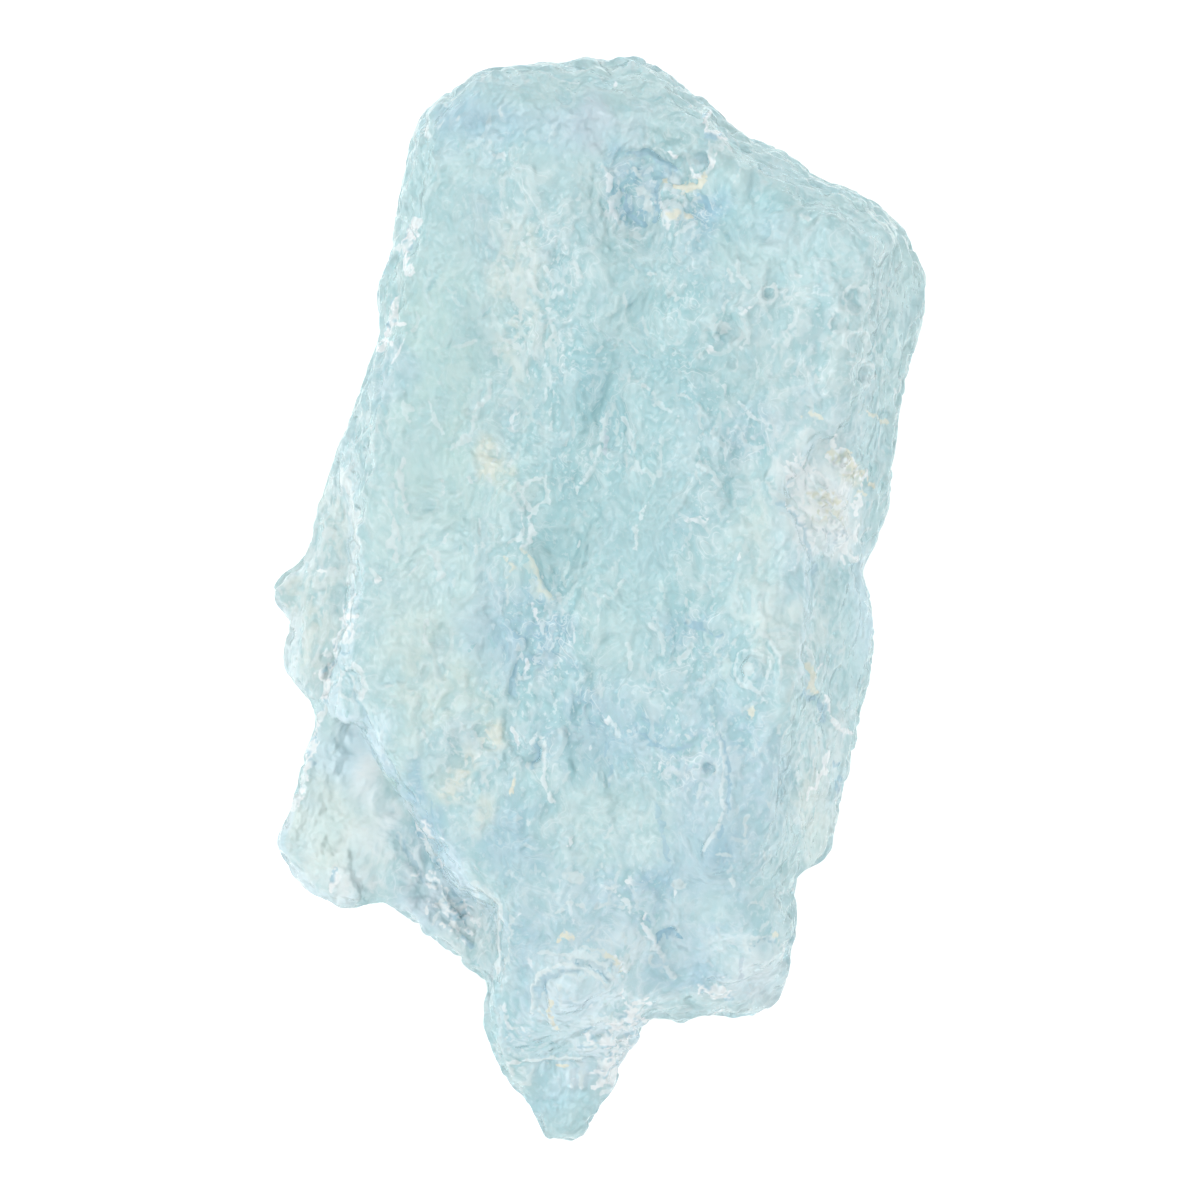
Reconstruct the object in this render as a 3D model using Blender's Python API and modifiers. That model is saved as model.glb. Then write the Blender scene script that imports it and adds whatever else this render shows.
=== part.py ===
"""A rough, naturally etched aquamarine crystal, lying on a flat prism face.

It is one piece of beryl: a flattened six-sided prism, broken at both ends, with
ledges along its sides, rounded lobes, a tapering stub at its foot and a hollow
near its head. It lies on its back face with its long side along Y. The face
that looks up is the one to show.

Sizes in the lists below are millimetres: x to the right, y towards the head,
z up from the resting face.
"""

import math

import bmesh
import bpy
import numpy as np
from mathutils import Matrix, Vector, noise

MM = 0.001

# Driving dimensions of the crystal, in millimetres
LENGTH = 53.8
WIDTH = 32.4
THICKNESS = 17.0

# The long axis of the prism leans this far from Y, head to the right
AXIS_LEAN = math.radians(11.0)

# Mesh sizes, in millimetres, and the triangles that the finished solid may have
GRID = 0.42
TRIANGLES = 9000

# Etching: depth of each layer of relief in millimetres, and how far one swell of it reaches
SWELL_DEPTH, SWELL_REACH = 0.60, 5.2
SCALLOP_DEPTH, SCALLOP_REACH = 0.50, 2.4
RIPPLE_DEPTH, RIPPLE_REACH = 0.16, 1.25
STRETCH_ALONG_AXIS = 1.9
SIDEWAYS_SHARE = 0.30

# The sides are widest at this height, and stand back from it by this much at the faces,
# over a margin of this width, towards the line between these two points of the plan
WIDEST_HEIGHT = 8.0
SIDES_STAND_BACK = 1.5
MARGIN = 3.5
MIDDLE_LINE = [(-1.5, -12.0), (2.5, 14.0)]
BELOW_BASE = 0.6
SMOOTHING = 0.5
SMOOTHING_ROUNDS = 4

# What the crystal's outline shows from above, clockwise from the head
OUTLINE = [
    (-7.2, 25.0), (-6.9, 25.7), (-5.9, 26.3), (-4.7, 26.4), (-3.0, 26.6), (-1.7, 26.5),
    (-0.7, 26.9), (0.1, 26.5), (0.6, 26.55), (1.4, 26.95), (2.4, 26.6), (3.4, 26.0),
    (4.2, 25.2), (5.0, 24.9), (5.8, 24.2), (6.7, 23.4), (8.2, 22.6), (9.3, 22.3),
    (10.0, 21.8), (10.6, 21.0), (11.3, 20.65), (12.0, 20.6), (13.5, 19.9), (14.1, 19.2),
    (15.1, 18.4), (15.4, 17.8), (15.5, 17.0), (16.0, 16.7), (16.2, 16.2), (16.2, 15.2),
    (15.8, 13.5), (15.1, 11.3), (14.8, 9.2), (14.5, 7.2), (14.3, 4.8), (13.8, 3.1),
    (13.3, 2.2), (12.85, 1.9), (12.7, 1.4), (13.2, 0.4), (13.4, -0.8), (13.55, -2.3),
    (13.2, -4.0), (12.8, -5.1), (12.6, -7.2), (12.1, -9.2), (11.7, -11.2), (11.4, -12.4),
    (10.9, -13.0), (9.9, -13.2), (9.6, -13.9), (9.9, -15.8), (9.7, -16.7), (9.4, -17.2),
    (9.5, -18.4), (9.1, -19.4), (8.8, -20.15), (7.7, -20.55), (7.0, -20.7), (5.9, -20.4),
    (5.2, -20.15), (4.4, -20.9), (4.0, -20.9), (3.2, -20.4), (2.6, -20.4), (2.2, -20.8),
    (1.7, -21.9), (0.9, -22.8), (0.7, -24.2), (-0.1, -24.9), (-0.85, -26.85), (-2.7, -26.9),
    (-3.2, -25.2), (-4.3, -24.3), (-4.9, -23.2), (-5.5, -21.2), (-5.5, -20.0), (-5.2, -18.9),
    (-6.3, -18.2), (-8.0, -16.7), (-8.8, -16.5), (-9.4, -15.7), (-11.1, -14.6), (-12.0, -15.2),
    (-12.8, -15.2), (-13.4, -14.85), (-14.3, -14.6), (-15.0, -13.9), (-15.9, -12.5),
    (-16.05, -11.8), (-15.5, -10.9), (-15.0, -9.0), (-14.4, -7.0), (-13.8, -6.0),
    (-14.2, -5.1), (-15.1, -4.0), (-15.7, -3.3), (-15.7, -2.7), (-15.2, -1.4), (-15.4, -0.7),
    (-16.0, -0.3), (-16.2, 0.4), (-16.0, 1.1), (-15.0, 1.6), (-14.5, 2.0), (-14.0, 4.5),
    (-13.4, 6.3), (-12.6, 8.2), (-12.0, 9.7), (-11.5, 11.4), (-10.9, 12.8), (-10.8, 13.9),
    (-11.0, 15.5), (-10.6, 16.7), (-10.1, 17.1), (-10.2, 18.1), (-9.8, 20.4), (-9.3, 22.9),
    (-8.9, 24.0), (-8.0, 24.95),
]

# Across the prism axis and up: the six corners of its section
SECTION = [
    (-15.2, 7.2),
    (-12.9, 15.0),
    (10.8, THICKNESS + 0.1),
    (14.1, 9.0),
    (10.9, -BELOW_BASE),
    (-11.8, -BELOW_BASE),
]

# Broken faces at the ends and corners: a point on each, and which way it faces
BROKEN_FACES = [
    ((0.0, 24.4, 16.4), (0.05, 0.80, 0.60)),
    ((10.4, 20.2, 17.0), (0.47, 0.74, 0.48)),
    ((-7.8, 23.4, 15.4), (-0.62, 0.52, 0.59)),
    ((-6.4, -11.6, 16.2), (-0.34, -0.42, 0.84)),
    ((4.0, -13.0, 16.8), (0.14, -0.47, 0.87)),
    ((7.0, -18.6, 13.0), (0.20, -0.80, 0.56)),
    ((0.0, 23.0, 0.0), (-0.10, 0.72, -0.69)),
    ((9.0, 18.4, 0.0), (0.50, 0.62, -0.60)),
    ((4.0, -16.6, 0.0), (0.30, -0.66, -0.69)),
    ((-9.0, -11.5, 0.0), (-0.52, -0.50, -0.69)),
]

# Ledges: each is a step cut down to a level over a plan outline
LEDGES = [
    ("ledge_left", 10.4, [
        (-13.3, 6.6), (-12.4, 4.6), (-12.3, 1.6), (-12.6, -1.0), (-13.1, -3.6),
        (-13.9, -6.1), (-18.0, -6.5), (-18.0, 6.6),
    ]),
    ("ledge_foot_left", 10.8, [
        (-14.0, -6.2), (-12.1, -4.9), (-11.5, -6.6), (-10.6, -8.2), (-9.5, -9.8),
        (-8.5, -11.8), (-7.3, -14.4), (-5.1, -15.0), (-5.1, -21.0), (-18.0, -21.0),
        (-18.0, -6.2),
    ]),
    ("ledge_right", 14.2, [
        (9.8, -14.5), (9.7, -8.0), (10.3, -6.0), (10.9, -4.6), (10.1, -2.4),
        (10.9, 0.0), (11.4, 2.0), (18.0, 2.0), (18.0, -14.5),
    ]),
    ("ledge_right_hollow", 15.2, [
        (9.0, 5.4), (9.4, 4.4), (10.2, 3.8), (10.7, 2.9), (11.0, 1.6), (18.0, 2.0),
        (18.0, 7.4), (13.9, 8.7), (12.2, 8.0), (10.9, 8.3), (10.0, 6.9),
    ]),
    ("ledge_head_left", 12.2, [
        (-8.9, 19.6), (-9.5, 18.4), (-10.1, 17.4), (-10.1, 15.0), (-10.7, 12.4),
        (-14.0, 12.4), (-14.0, 19.6),
    ]),
]

# Hollows etched into the resting face: name, centre, half sizes
HOLLOWS = [
    ("back_hollow", (-5.4, 9.5, -1.9), (3.0, 6.2, 3.0)),
    ("back_hollow_foot", (4.6, -6.0, -1.6), (2.6, 4.8, 2.8)),
]

# Rounded lobes that stand beyond the prism: name, centre, half sizes
LOBES = [
    ("foot_lobe_left", (-12.0, -10.6, 6.0), (5.4, 6.4, 4.5)),
    ("foot_lobe_right", (7.2, -18.0, 7.6), (3.4, 3.4, 4.8)),
    ("knob_left", (-15.0, 0.4, 6.6), (1.9, 1.8, 2.6)),
    ("shoulder_left", (-14.4, -2.9, 6.3), (2.2, 2.6, 3.4)),
    ("right_swell", (11.4, -2.4, 6.8), (2.6, 4.4, 5.0)),
    ("head_swell", (1.4, 23.6, 8.8), (6.4, 3.5, 5.8)),
]

# The stub at the foot: a six-sided taper, flattened, from its root to its tip
STUB_ROOT = (-1.2, -11.5, 8.0)
STUB_TIP = (-1.8, -27.6, 7.0)
STUB_ROOT_RADIUS = 6.0
STUB_TIP_RADIUS = 3.0
STUB_TURN = math.radians(30.0)

# Lines on the upper face: name, height of the middle over the face, half width, path
# A furrow has a height below zero, and a ridge has one above it.
LINES = [
    ("furrow_middle", -0.80, 1.5, [
        (1.9, 13.5), (0.7, 9.0), (-1.2, 4.2), (-2.4, 0.6), (-3.6, -3.2), (-4.2, -7.0),
    ]),
    ("furrow_right", -0.55, 1.3, [
        (6.4, 12.6), (6.9, 9.4), (7.0, 6.0), (6.0, 2.8), (5.2, -0.6), (5.6, -4.4),
    ]),
    ("furrow_foot", -0.70, 2.2, [(0.4, -3.2), (1.4, -7.6), (3.2, -12.6), (4.2, -17.0)]),
    ("crease_foot_left", -0.90, 0.9, [
        (-12.4, -4.6), (-11.4, -7.0), (-9.9, -9.1), (-8.7, -10.6), (-8.0, -12.6), (-6.3, -16.0),
    ]),
    ("ridge_left", 0.45, 0.8, [
        (-12.7, 1.4), (-12.9, -0.6), (-13.5, -2.4), (-13.9, -4.6), (-14.1, -6.2),
    ]),
    ("ridge_lobe", 0.50, 0.6, [(-14.0, -6.6), (-14.8, -9.0), (-15.3, -11.6)]),
    ("ridge_right", 0.55, 0.7, [(8.0, -1.4), (8.9, -2.4), (9.2, -4.2)]),
    ("ridge_rim_right", 0.50, 0.6, [(10.2, -2.0), (10.6, -3.5), (10.9, -5.0)]),
    ("ridge_winding", 0.50, 0.6, [
        (5.6, -6.0), (6.2, -8.3), (6.2, -10.4), (5.6, -11.8), (5.1, -12.9),
    ]),
    ("ridge_hollow", 0.45, 0.7, [(8.3, 5.4), (9.4, 4.4), (10.3, 3.4), (10.9, 1.7)]),
    ("ridge_middle", 0.45, 0.6, [(-3.9, 2.8), (-3.2, 1.4), (-2.5, 0.0)]),
    ("step_stub", -0.50, 0.5, [(-5.0, -23.0), (-3.2, -22.7), (-1.4, -22.8), (0.6, -23.1)]),
]

# Round forms on the upper face: name, height of the middle, radius, centre
ROUNDS = [
    ("hollow_head", -1.7, 2.3, (2.6, 20.4)),
    ("hollow_head_low", -0.9, 1.3, (1.6, 18.0)),
    ("hollow_head_lump", 0.7, 0.9, (3.4, 19.3)),
    ("pit_left", -0.9, 0.9, (-12.4, -4.15)),
    ("pit_middle", -0.7, 0.9, (-3.2, 5.3)),
    ("dome_right", 0.6, 1.1, (7.7, -3.5)),
    ("dome_stub", 1.5, 2.4, (-1.5, -19.9)),
    ("dome_foot", 0.5, 0.9, (8.2, -17.4)),
    ("face_hollow", -1.1, 5.2, (-6.6, 7.6)),
    ("bulb_lobe", 0.8, 1.6, (-13.5, -13.0)),
    ("pit_chain_1", -0.4, 0.7, (12.8, 15.0)),
    ("pit_chain_2", -0.4, 0.7, (12.8, 12.9)),
    ("pit_chain_3", -0.4, 0.7, (13.0, 11.2)),
]


def clear_scene():
    for obj in list(bpy.data.objects):
        bpy.data.objects.remove(obj, do_unlink=True)


def make_collection(name):
    collection = bpy.data.collections.new(name)
    bpy.context.scene.collection.children.link(collection)
    return collection


def hide(obj):
    """Marks a helper that shapes the crystal and isn't part of it."""
    obj.hide_render = True
    obj.display_type = "WIRE"


def mesh_object(name, bm, collection):
    mesh = bpy.data.meshes.new(name)
    bm.to_mesh(mesh)
    bm.free()
    obj = bpy.data.objects.new(name, mesh)
    collection.objects.link(obj)
    return obj


def meshed(curve_object, collection):
    """A mesh object in place of a curve object, with its loose caps welded on."""
    bpy.context.view_layer.update()
    graph = bpy.context.evaluated_depsgraph_get()
    mesh = bpy.data.meshes.new_from_object(curve_object.evaluated_get(graph))
    place = curve_object.matrix_world.copy()
    name = curve_object.name
    bpy.data.objects.remove(curve_object, do_unlink=True)
    bm = bmesh.new()
    bm.from_mesh(mesh)
    bpy.data.meshes.remove(mesh)
    bmesh.ops.remove_doubles(bm, verts=bm.verts, dist=1e-6)
    bmesh.ops.recalc_face_normals(bm, faces=bm.faces)
    obj = mesh_object(name, bm, collection)
    obj.matrix_world = place
    return obj


def plate(name, outline, half_height, place, collection):
    """A flat outline in millimetres, extruded both ways from the middle of place."""
    curve = bpy.data.curves.new(name, "CURVE")
    curve.dimensions = "2D"
    curve.fill_mode = "BOTH"
    curve.extrude = half_height * MM
    spline = curve.splines.new("POLY")
    spline.points.add(len(outline) - 1)
    for point, (x, y) in zip(spline.points, outline):
        point.co = (x * MM, y * MM, 0.0, 1.0)
    spline.use_cyclic_u = True
    obj = bpy.data.objects.new(name, curve)
    collection.objects.link(obj)
    obj.matrix_world = place
    return meshed(obj, collection)


def ellipsoid(name, centre, half_sizes, collection):
    bm = bmesh.new()
    bmesh.ops.create_uvsphere(bm, u_segments=24, v_segments=16, radius=1.0)
    bmesh.ops.scale(bm, vec=Vector(half_sizes) * MM, verts=bm.verts)
    obj = mesh_object(name, bm, collection)
    obj.location = Vector(centre) * MM
    obj.rotation_euler.z = -AXIS_LEAN
    return obj


def prism_body(collection):
    """The flattened six-sided prism, with the broken faces cut across its ends."""
    lying = Matrix.Rotation(-AXIS_LEAN, 4, "Z") @ Matrix.Rotation(math.pi / 2, 4, "X")
    body = plate("aquamarine_crystal", SECTION, LENGTH * 0.6, lying, collection)
    body.data.transform(body.matrix_world)
    body.matrix_world = Matrix.Identity(4)
    bm = bmesh.new()
    bm.from_mesh(body.data)
    for point, facing in BROKEN_FACES:
        cut = bmesh.ops.bisect_plane(
            bm,
            geom=bm.verts[:] + bm.edges[:] + bm.faces[:],
            plane_co=Vector(point) * MM,
            plane_no=Vector(facing).normalized(),
            clear_outer=True,
        )
        rim = [item for item in cut["geom_cut"] if isinstance(item, bmesh.types.BMEdge)]
        bmesh.ops.holes_fill(bm, edges=rim)
    bmesh.ops.recalc_face_normals(bm, faces=bm.faces)
    bm.to_mesh(body.data)
    bm.free()
    return body


def stub(collection):
    """The tapering stub at the foot, a six-sided cone cut short at both ends."""
    root = Vector(STUB_ROOT) * MM
    tip = Vector(STUB_TIP) * MM
    run = tip - root
    bm = bmesh.new()
    bmesh.ops.create_cone(
        bm,
        cap_ends=True,
        segments=6,
        radius1=STUB_ROOT_RADIUS * MM,
        radius2=STUB_TIP_RADIUS * MM,
        depth=run.length,
    )
    obj = mesh_object("stub", bm, collection)
    turn = run.to_track_quat("Z", "Y").to_matrix().to_4x4() @ Matrix.Rotation(STUB_TURN, 4, "Z")
    obj.matrix_world = Matrix.Translation((root + tip) / 2) @ turn
    return obj


def boolean(obj, operation, collection):
    modifier = obj.modifiers.new(operation.lower(), "BOOLEAN")
    modifier.operation = operation
    modifier.operand_type = "COLLECTION"
    modifier.collection = collection


def applied(obj):
    """The object's mesh with its modifiers applied, as a bmesh."""
    bpy.context.view_layer.update()
    graph = bpy.context.evaluated_depsgraph_get()
    mesh = bpy.data.meshes.new_from_object(obj.evaluated_get(graph))
    obj.modifiers.clear()
    bm = bmesh.new()
    bm.from_mesh(mesh)
    bpy.data.meshes.remove(mesh)
    return bm


def along_axis(point):
    """A point in millimetres, turned so that y follows the prism axis and squeezed along it."""
    turned = Matrix.Rotation(AXIS_LEAN, 3, "Z") @ point
    turned.y /= STRETCH_ALONG_AXIS
    return turned


def scallop(point):
    """How deep a bowl of the etching is at a point: 1 at a bowl's middle, 0 on the rim between two."""
    near, next_near = noise.voronoi(point)[0][:2]
    return min(1.0, next_near - near)


def etched_depth(point):
    """How far the etching went in at a point of the surface, in millimetres."""
    turned = along_axis(point)
    swell = noise.noise(turned / SWELL_REACH)
    bowl = scallop(turned / SCALLOP_REACH) - 0.5
    ripple = noise.noise(turned / RIPPLE_REACH)
    return SWELL_DEPTH * swell + SCALLOP_DEPTH * bowl + RIPPLE_DEPTH * ripple


def distance_to_path(plan, path):
    """How far each plan point is from a line through the path's points."""
    nearest = np.full(len(plan), np.inf)
    for start, end in zip(path, path[1:]):
        start, run = np.array(start), np.subtract(end, start)
        along = np.clip((plan - start) @ run / (run @ run), 0.0, 1.0)
        gap = plan - start - along[:, None] * run
        nearest = np.minimum(nearest, np.hypot(gap[:, 0], gap[:, 1]))
    return nearest


def bell(distance, half_width):
    return np.exp(-((distance / half_width) ** 2))


def face_height(plan):
    """How far the lines and round forms lift the upper face at each plan point."""
    height = np.zeros(len(plan))
    for _, middle, half_width, path in LINES:
        height += middle * bell(distance_to_path(plan, path), half_width)
    for _, middle, radius, centre in ROUNDS:
        height += middle * bell(np.hypot(*(plan - np.array(centre)).T), radius)
    return height


def from_widest(heights):
    """0 where the sides are widest, and 1 at the upper and the resting face."""
    return np.minimum(1.0, np.abs(heights - WIDEST_HEIGHT) / WIDEST_HEIGHT) ** 2


def stand_back(bm):
    """Draws the margin in above and below the widest height, so that the sides are round."""
    places = np.array([vert.co for vert in bm.verts]) / MM
    plan, heights = places[:, :2], places[:, 2]
    start, end = np.array(MIDDLE_LINE)
    along = np.clip((plan - start) @ (end - start) / ((end - start) @ (end - start)), 0.0, 1.0)
    inward = start + along[:, None] * (end - start) - plan
    inward /= np.maximum(np.hypot(inward[:, 0], inward[:, 1]), 1.0)[:, None]
    near_outline = bell(distance_to_path(plan, OUTLINE + OUTLINE[:1]), MARGIN)
    moves = inward * (SIDES_STAND_BACK * from_widest(heights) * near_outline)[:, None]
    for vert, (x, y) in zip(bm.verts, moves):
        vert.co += Vector((x, y, 0.0)) * MM


def etch(bm):
    """Moves every point in by the etching there, and lifts or sinks the upper face.

    Where the sides are widest they show as the outline, and the etching moves them least.
    """
    bm.normal_update()
    places = np.array([vert.co for vert in bm.verts]) / MM
    depths = [etched_depth(Vector(place)) for place in places]
    shares = SIDEWAYS_SHARE + (1.0 - SIDEWAYS_SHARE) * from_widest(places[:, 2])
    for vert, depth, share, lift in zip(bm.verts, depths, shares, face_height(places[:, :2])):
        move = vert.normal * -depth
        move.x *= share
        move.y *= share
        move.z += lift * max(0.0, vert.normal.z)
        vert.co += move * MM


def recentre(bm):
    """Stands the bounding box's middle over the origin, without changing heights."""
    for axis in range(2):
        places = [vert.co[axis] for vert in bm.verts]
        middle = (min(places) + max(places)) / 2
        for vert in bm.verts:
            vert.co[axis] -= middle


def beryl():
    material = bpy.data.materials.new("aquamarine")
    material.use_nodes = True
    shader = material.node_tree.nodes["Principled BSDF"]
    shader.inputs["Base Color"].default_value = (0.50, 0.74, 0.78, 1.0)
    shader.inputs["Roughness"].default_value = 0.18
    shader.inputs["Metallic"].default_value = 0.0
    shader.inputs["IOR"].default_value = 1.58
    shader.inputs["Transmission Weight"].default_value = 1.0
    return material


def build():
    clear_scene()
    crystal = make_collection("aquamarine")
    added = make_collection("added_forms")
    silhouette = make_collection("silhouette")
    cut_away = make_collection("cut_away")
    ground = make_collection("ground")

    body = prism_body(crystal)
    stub(added)
    for name, centre, half_sizes in LOBES:
        ellipsoid(name, centre, half_sizes, added)
    middle = Matrix.Translation((0, 0, THICKNESS / 2 * MM))
    plate("outline", OUTLINE, THICKNESS, middle, silhouette)
    for name, level, outline in LEDGES:
        above = Matrix.Translation((0, 0, (level + THICKNESS) * MM))
        plate(name, outline, THICKNESS, above, cut_away)
    for name, centre, half_sizes in HOLLOWS:
        ellipsoid(name, centre, half_sizes, cut_away)
    below = Matrix.Translation((0, 0, -WIDTH * MM))
    plate("floor_cut", [(-40, -40), (40, -40), (40, 40), (-40, 40)], WIDTH, below, ground)

    for helper in (added, silhouette, cut_away, ground):
        for obj in helper.objects:
            hide(obj)

    boolean(body, "DIFFERENCE", cut_away)
    boolean(body, "UNION", added)
    boolean(body, "INTERSECT", silhouette)
    skin = body.modifiers.new("even_grid", "REMESH")
    skin.mode = "VOXEL"
    skin.voxel_size = GRID * MM
    bm = applied(body)
    for _ in range(SMOOTHING_ROUNDS):
        bmesh.ops.smooth_vert(
            bm, verts=bm.verts, factor=SMOOTHING, use_axis_x=True, use_axis_y=True, use_axis_z=True
        )
    stand_back(bm)
    etch(bm)
    recentre(bm)
    bmesh.ops.triangulate(bm, faces=bm.faces)
    share = TRIANGLES / len(bm.faces)
    bm.to_mesh(body.data)
    bm.free()

    thin = body.modifiers.new("fewer_faces", "DECIMATE")
    thin.ratio = share
    boolean(body, "DIFFERENCE", ground)
    body.data.materials.clear()
    body.data.materials.append(beryl())
    return body


build()
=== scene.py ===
"""The looks of a rough, etched aquamarine crystal, lying on its back on a white table.

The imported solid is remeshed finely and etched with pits, ridges and ripples. The
crystal is see-through: light is tinted at its skin and absorbed inside it. Lists
of places are in millimetres, as the camera sees them: x to the right and y up,
from the middle of the picture, 20 pixels to the millimetre.
"""

import math

import bpy
import numpy as np
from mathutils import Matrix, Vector, noise


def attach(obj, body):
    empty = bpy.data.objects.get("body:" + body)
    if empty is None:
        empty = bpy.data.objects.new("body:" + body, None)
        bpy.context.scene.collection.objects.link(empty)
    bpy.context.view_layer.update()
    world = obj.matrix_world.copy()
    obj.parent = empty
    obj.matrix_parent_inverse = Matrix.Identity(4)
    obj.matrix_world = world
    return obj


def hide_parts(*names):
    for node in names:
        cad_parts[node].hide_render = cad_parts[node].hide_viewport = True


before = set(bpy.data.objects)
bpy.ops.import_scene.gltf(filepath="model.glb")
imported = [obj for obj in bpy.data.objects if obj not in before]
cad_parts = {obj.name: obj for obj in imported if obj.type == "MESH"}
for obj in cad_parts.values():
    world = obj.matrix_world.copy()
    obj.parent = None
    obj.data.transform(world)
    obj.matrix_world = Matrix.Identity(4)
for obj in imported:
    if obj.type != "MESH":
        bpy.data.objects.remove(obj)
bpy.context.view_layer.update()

MM = 0.001
NODE = "aquamarine_crystal"

# The camera looks straight down on the plane where the crystal is widest
WIDEST_HEIGHT = 8.0
VIEW_SIDE = 60.0
SENSOR = 36.0
LENS = 180.0
CAMERA_DISTANCE = VIEW_SIDE * LENS / SENSOR

# Mesh of the crystal, in millimetres, and the triangles that it may have
GRID = 0.17
MOST_TRIANGLES = 196_000
BACK_TRIANGLES = 46_000
SMOOTHING_REACH = 0.40

# Light of the room: on matt things, overhead, and at the horizon
EVEN_LIGHT = 1.725
ZENITH_LIGHT = 1.45
HORIZON_LIGHT = 0.80

# Matt things are lit a little more from here: azimuth from +X, elevation, and by how much
BRIGHT_SIDE = (180.0, 42.0, 0.38)

# Soft round lamps: azimuth from +X and elevation, radius, all in degrees, and brightness
LAMPS = [
    (140, 52, 12, 3.0),
    (75, 60, 10, 2.2),
    (10, 50, 10, 2.0),
    (-105, 50, 11, 2.0),
    (185, 66, 9, 2.4),
]

# The long axis of the prism leans this far from Y
AXIS_LEAN = math.radians(11.0)
AXIS = np.array((math.sin(AXIS_LEAN), math.cos(AXIS_LEAN)))
ACROSS = np.array((math.cos(AXIS_LEAN), -math.sin(AXIS_LEAN)))

# The side of a pit whose rim gets a painted highlight
LIT_SIDE = np.array((0.97, -0.24))

# One step towards the light, across the small scales of the skin, which places their painted highlights and
# painted shade
LIT_STEP = (-0.19 * MM, 0.05 * MM, 0.0)

# Colours that the skin shows in white light, sRGB from 0 to 255
PALETTE = {
    "aqua": (188, 217, 219),
    "teal": (176, 212, 214),
    "deep_teal": (160, 203, 208),
    "grey_teal": (180, 211, 212),
    "green": (190, 221, 216),
    "pale": (203, 226, 226),
    "blue": (166, 202, 217),
    "deep_blue": (152, 192, 211),
    "pale_blue": (186, 212, 224),
    "lavender": (197, 212, 221),
    # A pale colour for matt white etching, and also for the painted highlight on the lit side of pit rims
    "frost_and_highlight": (218, 231, 231),
    "bright": (232, 243, 243),
    "glow_blue": (224, 244, 254),
    "beige": (214, 226, 218),
    "cream": (240, 236, 214),
    "white": (252, 254, 254),
}

# How bright a colour of the skin comes out, against its own value
SKIN_GAIN = np.array((1.03, 1.055, 1.055))
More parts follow.
